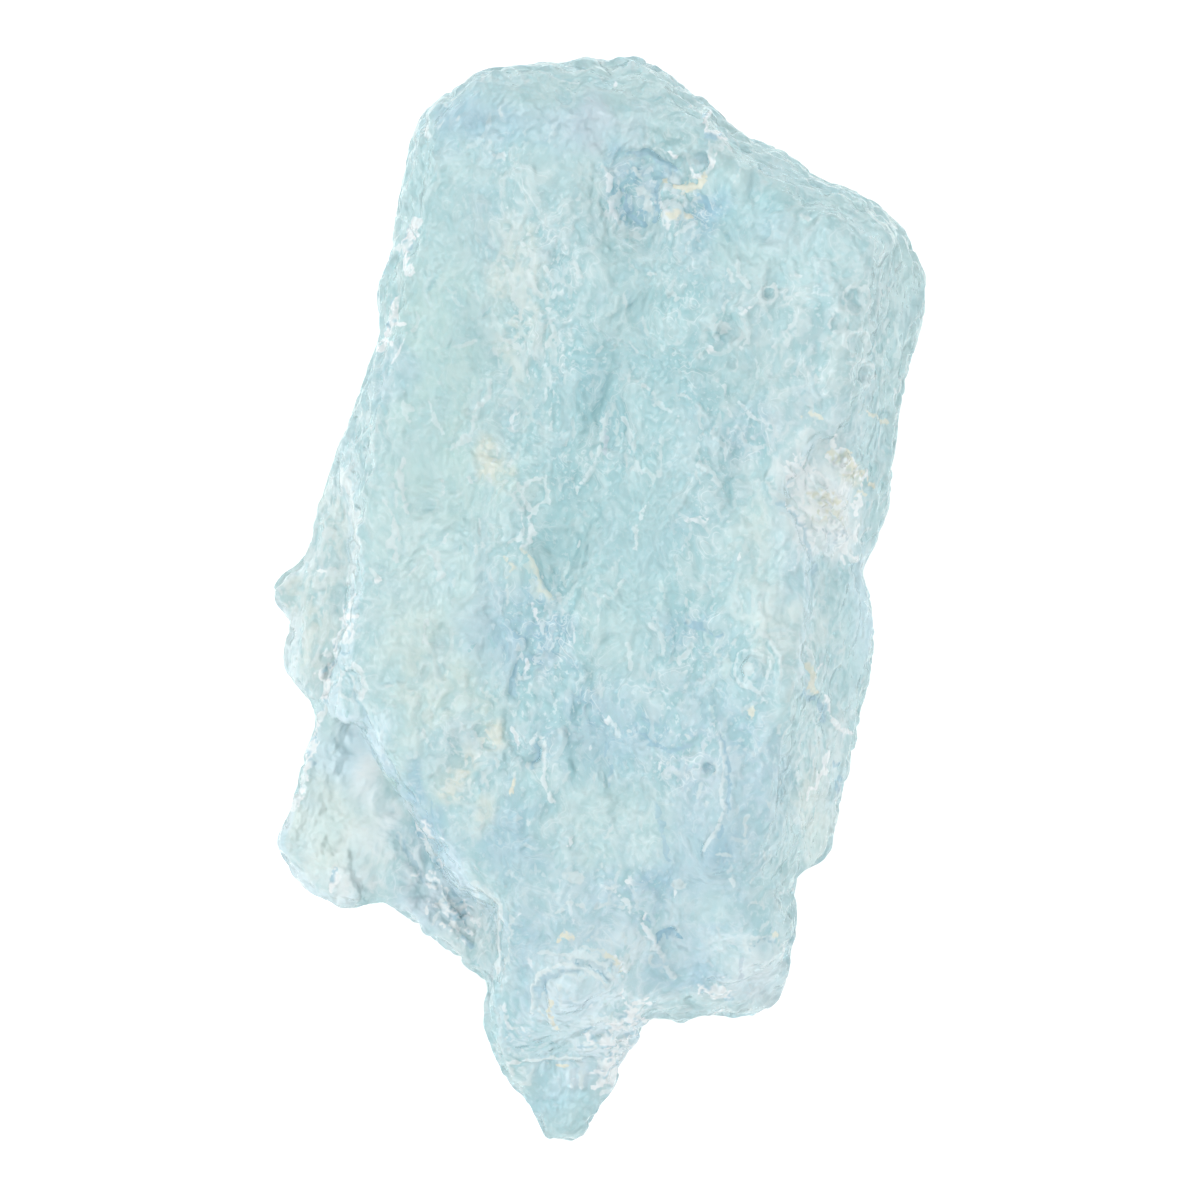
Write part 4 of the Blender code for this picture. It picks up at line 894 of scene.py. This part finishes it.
    def crumble(self, rng, half_width, path, looks=("white", "white", "white", "bright", "blue")):
        """A ridge broken into small splinters."""
        path = np.array(path, float)
        steps = np.hypot(*(path[1:] - path[:-1]).T)
        along = np.concatenate([[0.0], np.cumsum(steps)])
        for _ in range(round(SPLINTERS_PER_MM * along[-1] * (0.4 + 3.0 * half_width))):
            where = rng.uniform(0.0, along[-1])
            piece = min(np.searchsorted(along, where, "right"), len(path) - 1)
            ahead = (path[piece] - path[piece - 1]) / steps[piece - 1]
            centre = [np.interp(where, along, path[:, axis]) for axis in (0, 1)]
            centre = np.array(centre) + rng.normal(0.0, 0.7 * half_width, 2)
            turn = rng.normal(0.0, HEADING_SPREAD)
            ahead = np.array((ahead[0] * math.cos(turn) - ahead[1] * math.sin(turn),
                              ahead[0] * math.sin(turn) + ahead[1] * math.cos(turn)))
            reach = ahead * rng.uniform(*SPLINTER_HALF_LENGTHS)
            look = looks[rng.integers(len(looks))]
            strength = rng.uniform(0.7, 1.0)
            height = rng.uniform(*SPLINTER_HEIGHTS)
            width = rng.uniform(*SPLINTER_HALF_WIDTHS)
            self.line(look, strength, height, width, [centre - reach, centre + reach])

    def dash(self, look, strength, at, heading, length, bend, half_width, height):
        """A small crescent anywhere on the crystal, with a painted shadow along one side."""
        found, side, ahead = self.round_about(at, heading, 0.5 * length + 3.0 * half_width)
        taper = np.clip(1.0 - (2.0 * ahead / length) ** 2, 0.0, 1.0)
        gap = side - bend * ahead ** 2 / length
        shape = bell(gap, half_width) * taper
        self.lift[found] += height * shape
        self.draw(look, strength, found, shape * (1.0 - 0.6 * np.maximum(self.wear[found], 0.0)))
        # Painted shadow: a dark stroke along one side of the crescent
        self.shade(found, 0.4 * strength * bell(gap + 1.6 * half_width, half_width) * taper)

    def finish(self):
        """Moves the points, without sinking any below the table."""
        moved = self.points + self.normals * self.lift[:, None]
        moved[:, 2] = np.maximum(moved[:, 2], 0.0)
        flat = (moved * MM).astype(np.float32).ravel()
        self.mesh.vertices.foreach_set("co", flat)
        self.mesh.update()


def cloud(surface, reach, stretch, offset):
    """Soft noise from -1 to 1 at each point, stretched along the prism axis."""
    across = surface.points[:, :2] @ ACROSS / reach
    along = surface.points[:, :2] @ AXIS / (reach * stretch)
    height = surface.points[:, 2] / reach + offset
    return np.array([noise.noise(Vector(place)) for place in zip(across, along, height)])


def busy_places(surface):
    """How thickly etched each point is, from 0 to 1."""
    busy = np.full(len(surface.points), BUSY_ALL_OVER)
    for level, centre, half_sizes in BUSY_ZONES:
        busy += (1.0 - smooth_step(0.5, 1.4, surface.reach(centre, half_sizes))) * (level - busy)
    busy = BUSY_ELSEWHERE + surface.facing * (busy - BUSY_ELSEWHERE)
    steep = 1.0 - smooth_step(*STEEP, np.abs(surface.normals[:, 2]))
    thinner = 1.0 - ETCHING_LOST_ON_STEEP * steep
    return np.clip(thinner * busy * (1.0 + 0.8 * cloud(surface, 3.0, 1.6, 3.7)), 0.0, 1.0)


def scatter_pits(surface, busy, rng):
    low, high = PIT_RADII
    for _ in range(PITS):
        at = rng.integers(len(surface.points))
        size = low * (high / low) ** rng.beta(1.0, 2.0)
        stretch = rng.uniform(*PIT_STRETCH)
        height = size * rng.uniform(*PIT_DEPTHS) * (1.0 if rng.random() < DOME_SHARE else -1.0)
        heading = rng.normal(0.0, HEADING_SPREAD)
        if rng.random() > 0.2 + busy[at]:
            continue
        found, side, ahead = surface.round_about(at, heading, 2.0 * size * stretch)
        place = np.stack([side / size, ahead / (size * stretch)], 1)
        surface.bowl_at(found, place, 1.0, height, PIT_PAINTED_SHADE)


def scatter_dashes(surface, busy, rng):
    low, high = DASH_LENGTHS
    for _ in range(DASHES):
        at = rng.integers(len(surface.points))
        straight = rng.random() < ALONG_AXIS
        heading = rng.normal(0.0, HEADING_SPREAD) if straight else rng.uniform(0.0, math.pi)
        length = low * (high / low) ** rng.random()
        bend = rng.normal(0.0, 0.6)
        half_width = rng.uniform(*DASH_HALF_WIDTHS)
        strength = rng.uniform(*DASH_STRENGTHS)
        height = rng.uniform(*DASH_HEIGHTS)
        kind = rng.random()
        dark = kind < WHITE_DASHES + DARK_DASHES
        look = "white" if kind < WHITE_DASHES else "deep_teal" if dark else "frost_and_highlight"
        if rng.random() > 0.06 + busy[at]:
            continue
        surface.dash(look, strength, at, heading, length, bend, half_width, height)


def scatter(surface, busy):
    rng = np.random.default_rng(SEED)
    for half_width, path in CRUMBLES:
        surface.crumble(rng, half_width, path)
    for looks, half_width, path in CLOUD:
        surface.crumble(rng, half_width, path, looks)
    scatter_pits(surface, busy, rng)
    scatter_dashes(surface, busy, rng)


def ripples(surface, busy):
    """Fine relief all over: grain and swell stretched along the prism axis, and chips on steep sides."""
    grain = cloud(surface, GRAIN_REACH, 1.6, 0.0)
    swell = cloud(surface, SWELL_REACH, 2.0, 9.0)
    heights = GRAIN_RELIEF * (0.3 + busy) * grain + SWELL_RELIEF * swell
    sides = smooth_step(SIDES[1], SIDES[0], np.abs(surface.normals[:, 2]))
    chips = smooth_step(-0.25, 0.25, cloud(surface, CHIP_REACH, 1.0, 31.0))
    heights += sides * (CHIP_RELIEF * chips - 0.5 * CHIP_RELIEF + 0.25 * grain * CHIP_RELIEF)
    above = surface.points[:, 2]
    foot, full, fading, top = SHOULDER_HEIGHTS
    heights += sides * SHOULDER_RELIEF * smooth_step(foot, full, above) * smooth_step(top, fading, above)
    flat_base = smooth_step(0.6, 0.95, -surface.normals[:, 2]) * (surface.points[:, 2] < 0.3)
    heights = heights * (1.0 - flat_base) - np.abs(heights) * flat_base * 0.8
    surface.lift += heights


def tinted(colours, share, look):
    """Colours, brought nearer to one look by a share for each point."""
    return colours + np.clip(share, 0.0, 1.0)[:, None] * (skin_colour(look) - colours)


def zone_colours(surface):
    """The skin with its soft zones, which wander at their edges, and vaguer ones at the back."""
    wander = np.stack([cloud(surface, 1.4, 1.2, 21.0), cloud(surface, 1.4, 1.2, 57.0)], 1)
    colours = np.tile(skin_colour("aqua"), (len(surface.points), 1))
    hue = cloud(surface, 5.0, 1.6, 71.0)
    unseen = 1.0 - 0.7 * surface.facing
    colours = tinted(colours, unseen * smooth_step(0.0, 0.5, hue), "blue")
    colours = tinted(colours, unseen * smooth_step(0.0, 0.5, -hue), "green")
    for look, strength, centre, half_sizes in ZONES:
        half_sizes = np.array(half_sizes)
        reach = surface.reach(centre, half_sizes, wander * np.minimum(0.8 * half_sizes, 1.2))
        share = strength * (1.0 - smooth_step(0.4, 1.35, reach)) * surface.facing
        colours = tinted(colours, share, look)
    return colours


def rims_and_walls(surface):
    """How near each point is to the rim of the outline, by how far its skin turns away from facing up, for
    painted shade; and how far it is on a wall inside it, for painted light.
    """
    up = surface.normals[:, 2]
    rim = bell(np.maximum(up, 0.0), RIM_WIDTH)
    for centre, half_sizes in INNER_WALLS:
        rim *= smooth_step(0.7, 1.1, surface.reach(centre, half_sizes))
    wall = surface.inside(INNER_WALLS, 0.7, 1.3)
    return rim, wall * (surface.facing * smooth_step(WALLS[1], WALLS[0], up))


def skin_colours(surface, busy):
    """The tint of the skin at every point, with painted shade and painted light among it."""
    colours = zone_colours(surface)
    patches = cloud(surface, 1.7, 1.5, 5.0)
    mottle = cloud(surface, 0.62, 1.4, 12.0)
    spots = SPOTS_EVERYWHERE + SPOTS_WHERE_BUSY * busy
    rim, wall = rims_and_walls(surface)
    for share, look in (
        (BLUE_PATCHES * smooth_step(0.05, 0.5, patches), "blue"),
        (PALE_PATCHES * smooth_step(0.05, 0.5, -patches), "pale"),
        (spots * smooth_step(0.1, 0.5, mottle), "frost_and_highlight"),
        (spots * smooth_step(0.1, 0.5, -mottle), "deep_teal"),
        # Painted shade in pits and beside crescents
        (surface.dark, "deep_blue"),
        # Painted light on inner walls
        (WALL_PAINTED_LIGHT * wall, "glow_blue"),
        # Painted shade on the rim of the outline, where the skin turns sideways or down
        (RIM_PAINTED_SHADE * rim, "deep_teal"),
    ):
        colours = tinted(colours, share, look)
    return colours


def mark_colours(surface, colours):
    """The tint of the mark that runs through or near every point."""
    looks = np.array([skin_colour(look) for look in PALETTE])[surface.mark_look]
    return colours + surface.mark_share[:, None] * (looks - colours)


def store_colours(mesh, name, colours):
    layer = mesh.color_attributes.new(name, "FLOAT_COLOR", "POINT")
    layer.data.foreach_set("color", np.hstack([colours, np.ones((len(colours), 1))]).ravel())


def store_values(mesh, name, values):
    mesh.attributes.new(name, "FLOAT", "POINT").data.foreach_set("value", values)


def stored_values(mesh, name):
    values = np.empty(len(mesh.vertices), np.float32)
    mesh.attributes[name].data.foreach_get("value", values)
    return values


def etch(surface, busy):
    """Relief and marks: the listed ones, then the scattered ones."""
    ripples(surface, busy)
    for row in LINES:
        surface.line(*row)
    for row in WHOLE_LINES:
        surface.line(*row, whole=True)
    for row in ROUNDS:
        surface.bowl(*row)
    for look, across, along, centre in SPOTS:
        surface.spot(look, 0.8, 0.05, across, along, centre)
    scatter(surface, busy)


def etched_crystal():
    obj = fine_copy(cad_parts[NODE])
    surface = Surface(obj.data)
    surface.roughen()
    busy = busy_places(surface)
    etch(surface, busy)
    colours = skin_colours(surface, busy)
    store_colours(obj.data, "skin_tint", colours)
    store_colours(obj.data, "mark_tint", mark_colours(surface, colours))
    store_values(obj.data, "mark", surface.mark)
    store_values(obj.data, "etching", busy)
    store_values(obj.data, "show_face", surface.facing)
    surface.finish()
    lighten(obj, surface)
    obj.data.shade_smooth()
    return obj


def lighten(obj, surface):
    """Brings the mesh down to its number of triangles, the back first and then the plain places."""
    girdle = bell(surface.points[:, 2] - 10.0, 3.0) * smooth_step(-0.5, -0.1, surface.normals[:, 2])
    spare = (1.0 - girdle) * (surface.facing < 0.5)
    front = 2 * int((surface.facing >= 0.5).sum())
    thin_out(obj, front + BACK_TRIANGLES, spare, BACK_FIRST)
    plain = 1.0 - 1.2 * stored_values(obj.data, "mark") - 0.3 * stored_values(obj.data, "etching")
    plain *= stored_values(obj.data, "show_face") >= 0.5
    thin_out(obj, MOST_TRIANGLES, np.clip(plain, 0.0, 1.0), PLAIN_FIRST)
    keep_on_table(obj.data)


def thin_out(obj, most, weights, factor):
    """Brings the mesh down to so many triangles, first where the weights are highest."""
    triangles = sum(len(face.vertices) - 2 for face in obj.data.polygons)
    if triangles <= most:
        return
    weigh(obj, "spare", np.ceil(10.0 * weights))
    thin = obj.modifiers.new("fewer_faces", "DECIMATE")
    thin.ratio = most / triangles
    thin.vertex_group = "spare"
    thin.vertex_group_factor = factor
    apply_modifiers(obj)
    obj.vertex_groups.clear()


def keep_on_table(mesh):
    """Lifts the few points that thinning pushed below the table."""
    flat = np.empty(len(mesh.vertices) * 3, np.float32)
    mesh.vertices.foreach_get("co", flat)
    flat[2::3] = np.maximum(flat[2::3], 0.0)
    mesh.vertices.foreach_set("co", flat)
    mesh.update()


def node(tree, kind, links=(), **settings):
    """A new shader node. links maps an input to the output or value that it takes."""
    made = tree.nodes.new(kind)
    for name, value in settings.items():
        setattr(made, name, value)
    for socket, source in dict(links).items():
        if isinstance(source, bpy.types.NodeSocket):
            tree.links.new(source, made.inputs[socket])
        else:
            made.inputs[socket].default_value = source
    return made


def math_node(tree, operation, first, second=0.0, third=0.0):
    return node(tree, "ShaderNodeMath", {0: first, 1: second, 2: third}, operation=operation).outputs[0]


def product(tree, first, second):
    return math_node(tree, "MULTIPLY", first, second)


def strongest(tree, first, *others):
    """The highest of several soft values."""
    for other in others:
        first = math_node(tree, "MAXIMUM", first, other)
    return first


def mix_colour(tree, share, first, second):
    """A mix of two colours. Sockets 6 and 7 of the node are its colours."""
    made = node(tree, "ShaderNodeMix", data_type="RGBA")
    for socket, source in ((0, share), (6, first), (7, second)):
        if isinstance(source, bpy.types.NodeSocket):
            tree.links.new(source, made.inputs[socket])
        else:
            made.inputs[socket].default_value = source
    return made.outputs[2]


def ramp(tree, value, low, high, start, end):
    return node(tree, "ShaderNodeMapRange", {0: value, 1: low, 2: high, 3: start, 4: end}).outputs[0]


def speckle(tree, place, scale, detail):
    return node(tree, "ShaderNodeTexNoise", {"Vector": place, "Scale": scale, "Detail": detail,
                                             "Roughness": 0.55}).outputs["Fac"]


def outline(tree, value, level, width):
    """Thin lines where a soft value passes a level."""
    gap = math_node(tree, "ABSOLUTE", math_node(tree, "SUBTRACT", value, level))
    return ramp(tree, gap, 0.3 * width, width, 1.0, 0.0)


def stored(tree, name):
    """A value that the mesh keeps at its points."""
    return node(tree, "ShaderNodeAttribute", attribute_name=name).outputs["Fac"]


def opaque(colour):
    return (*colour, 1.0)


def fine_pattern(tree):
    """The fine etching: how pale, with painted highlights on the sides of its scales that face the light, how
    dark, with painted shade in the low places of its scales and on their sides away from the light, how
    crisply marked it is, and its relief.
    """
    place = node(tree, "ShaderNodeTexCoord").outputs["Object"]
    streaks = node(tree, "ShaderNodeMapping", {"Vector": place, "Rotation": (0, 0, AXIS_LEAN),
                                               "Scale": (1.0, 0.85, 1.0)}).outputs[0]
    drift = node(tree, "ShaderNodeTexNoise", {"Vector": streaks, "Scale": DRIFT_RATE, "Detail": 0.0})
    bent = node(tree, "ShaderNodeVectorMath", {0: drift.outputs["Color"], 1: (DRIFT_REACH,) * 3, 2: streaks},
                operation="MULTIPLY_ADD").outputs[0]
    ahead = node(tree, "ShaderNodeVectorMath", {0: bent, 1: LIT_STEP}, operation="ADD").outputs[0]
    scales = speckle(tree, bent, SCALES_RATE, 1.0)
    small_scales = speckle(tree, bent, SMALL_SCALES_RATE, 1.0)
    grain = speckle(tree, bent, GRAIN_RATE, 2.0)
    # The slope of the scales towards the light, which places their painted highlights and painted shade
    slope = math_node(tree, "SUBTRACT", scales, speckle(tree, ahead, SCALES_RATE, 1.0))

    ragged = ramp(tree, grain, 0.2, 0.8, -0.30, 0.30)
    crisp = ramp(tree, math_node(tree, "ADD", stored(tree, "mark"), ragged), 0.42, 0.62, 0.0, 1.0)
    etching = stored(tree, "etching")
    broken = product(tree, etching, ramp(tree, drift.outputs["Fac"], 0.42, 0.56, 0.25, 1.0))
    strength = math_node(tree, "MULTIPLY_ADD", etching, 1.05, 0.05)

    small_rims = product(tree, outline(tree, small_scales, 0.57, 0.030), 0.7)
    rims = strongest(tree, outline(tree, scales, 0.565, 0.022), outline(tree, scales, 0.475, 0.014),
                     small_rims)
    # Painted highlight on rims that face the light, painted shade on rims that face away
    lit = product(tree, rims, ramp(tree, slope, -0.04, 0.05, 0.12, 1.0))
    unlit = product(tree, rims, ramp(tree, slope, -0.05, 0.0, 0.5, 0.0))
    # Pale flecks, pale crests of the scales, and a painted highlight on slopes that face the light
    pale_tops_and_highlights = strongest(tree, ramp(tree, grain, 0.57, 0.66, 0.0, 0.6), ramp(tree, scales, 0.56, 0.60, 0.0, 0.30),
                     ramp(tree, slope, 0.02, 0.10, 0.0, 0.35))
    # Painted shade in the low places of the scales and on slopes that face away from the light
    shaded_hollows = strongest(tree, ramp(tree, scales, 0.46, 0.40, 0.0, 0.70),
                        ramp(tree, small_scales, 0.42, 0.36, 0.0, 0.60),
                        unlit, ramp(tree, slope, -0.02, -0.10, 0.0, 0.45))
    pale = product(tree, strongest(tree, product(tree, lit, broken), product(tree, pale_tops_and_highlights, strength)), PALEST)
    dark = product(tree, shaded_hollows, strength)
    relief = math_node(tree, "MULTIPLY_ADD", small_scales, 0.4, scales)
    return pale, dark, crisp, relief


def beryl():
    material = bpy.data.materials.new("aquamarine")
    material.use_nodes = True
    tree = material.node_tree
    tree.nodes.clear()
    pale, dark, crisp, relief = fine_pattern(tree)
    skin = node(tree, "ShaderNodeVertexColor", layer_name="skin_tint").outputs["Color"]
    marks = node(tree, "ShaderNodeVertexColor", layer_name="mark_tint").outputs["Color"]
    # Painted shade over the skin's tint, then pale flecks and painted highlights
    shaded_skin = mix_colour(tree, dark, skin, opaque(skin_colour("deep_teal")))
    skin_with_flecks_and_highlights = mix_colour(tree, pale, shaded_skin, opaque(skin_colour("bright")))
    bump = node(tree, "ShaderNodeBump", {"Height": relief, "Strength": FINE_RELIEF_STRENGTH,
                                         "Distance": FINE_RELIEF}).outputs[0]
    shader = node(tree, "ShaderNodeBsdfPrincipled", {
        "Base Color": mix_colour(tree, crisp, skin_with_flecks_and_highlights, marks),
        "Roughness": ROUGHNESS,
        "IOR": IOR,
        "Transmission Weight": SEE_THROUGH,
        "Normal": bump,
    })
    inside = node(tree, "ShaderNodeVolumeAbsorption", {"Color": opaque(INSIDE_COLOUR),
                                                       "Density": INSIDE_DENSITY})
    output = node(tree, "ShaderNodeOutputMaterial")
    tree.links.new(shader.outputs[0], output.inputs["Surface"])
    tree.links.new(inside.outputs[0], output.inputs["Volume"])
    return material


def plain_white():
    material = bpy.data.materials.new("table_white")
    material.use_nodes = True
    shader = material.node_tree.nodes["Principled BSDF"]
    shader.inputs["Base Color"].default_value = opaque((TABLE_WHITE,) * 3)
    shader.inputs["Roughness"].default_value = 0.9
    shader.inputs["Specular IOR Level"].default_value = 0.1
    return material


def table_top():
    half = 0.5 * TABLE_SIDE * MM
    mesh = bpy.data.meshes.new("table_top")
    corners = [(-half, -half, 0), (half, -half, 0), (half, half, 0), (-half, half, 0)]
    mesh.from_pydata(corners, [], [(0, 1, 2, 3)])
    obj = bpy.data.objects.new("table_top", mesh)
    bpy.context.scene.collection.objects.link(obj)
    mesh.materials.append(plain_white())


def towards(azimuth, elevation):
    turn, rise = math.radians(azimuth), math.radians(elevation)
    return (math.cos(turn) * math.cos(rise), math.sin(turn) * math.cos(rise), math.sin(rise))


def bright_room():
    """An even white room, with a dimmer horizon and soft lamps that only gloss and clear glass show."""
    world = bpy.data.worlds.new("bright_room")
    world.use_nodes = True
    world.cycles.sampling_method = "NONE"
    bpy.context.scene.world = world
    tree = world.node_tree
    tree.nodes.clear()
    view = node(tree, "ShaderNodeTexCoord").outputs["Generated"]

    def facing(azimuth, elevation):
        return node(tree, "ShaderNodeVectorMath", {0: view, 1: towards(azimuth, elevation)},
                    operation="DOT_PRODUCT").outputs["Value"]

    height = node(tree, "ShaderNodeSeparateXYZ", {0: view}).outputs["Z"]
    light = ramp(tree, height, 0.0, 0.8, HORIZON_LIGHT, ZENITH_LIGHT)
    for azimuth, elevation, radius, strength in LAMPS:
        edge, core = math.cos(math.radians(1.3 * radius)), math.cos(math.radians(0.7 * radius))
        glow = ramp(tree, facing(azimuth, elevation), edge, core, 0.0, strength)
        light = math_node(tree, "ADD", light, glow)
    azimuth, elevation, share = BRIGHT_SIDE
    dimmest, brightest = EVEN_LIGHT * (1 - share), EVEN_LIGHT * (1 + share)
    even = ramp(tree, facing(azimuth, elevation), -1.0, 1.0, dimmest, brightest)
    bounced = node(tree, "ShaderNodeLightPath").outputs["Diffuse Depth"]
    matt = math_node(tree, "GREATER_THAN", bounced, 0.5)
    strength = node(tree, "ShaderNodeMix", {0: matt, 2: light, 3: even}, data_type="FLOAT").outputs[0]
    background = node(tree, "ShaderNodeBackground", {"Color": opaque((1.0, 1.0, 1.0)), "Strength": strength})
    output = node(tree, "ShaderNodeOutputWorld")
    tree.links.new(background.outputs[0], output.inputs["Surface"])


def camera_above():
    data = bpy.data.cameras.new("camera")
    data.sensor_width = SENSOR
    data.lens = LENS
    data.clip_start = 0.01
    obj = bpy.data.objects.new("camera", data)
    obj.location = (0.0, 0.0, (WIDEST_HEIGHT + CAMERA_DISTANCE) * MM)
    bpy.context.scene.collection.objects.link(obj)
    bpy.context.scene.camera = obj


def main():
    crystal = etched_crystal()
    crystal.data.materials.clear()
    crystal.data.materials.append(beryl())
    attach(crystal, "root")
    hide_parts(NODE)

    table_top()
    bright_room()
    camera_above()
    bpy.context.scene.view_settings.view_transform = "Standard"


main()
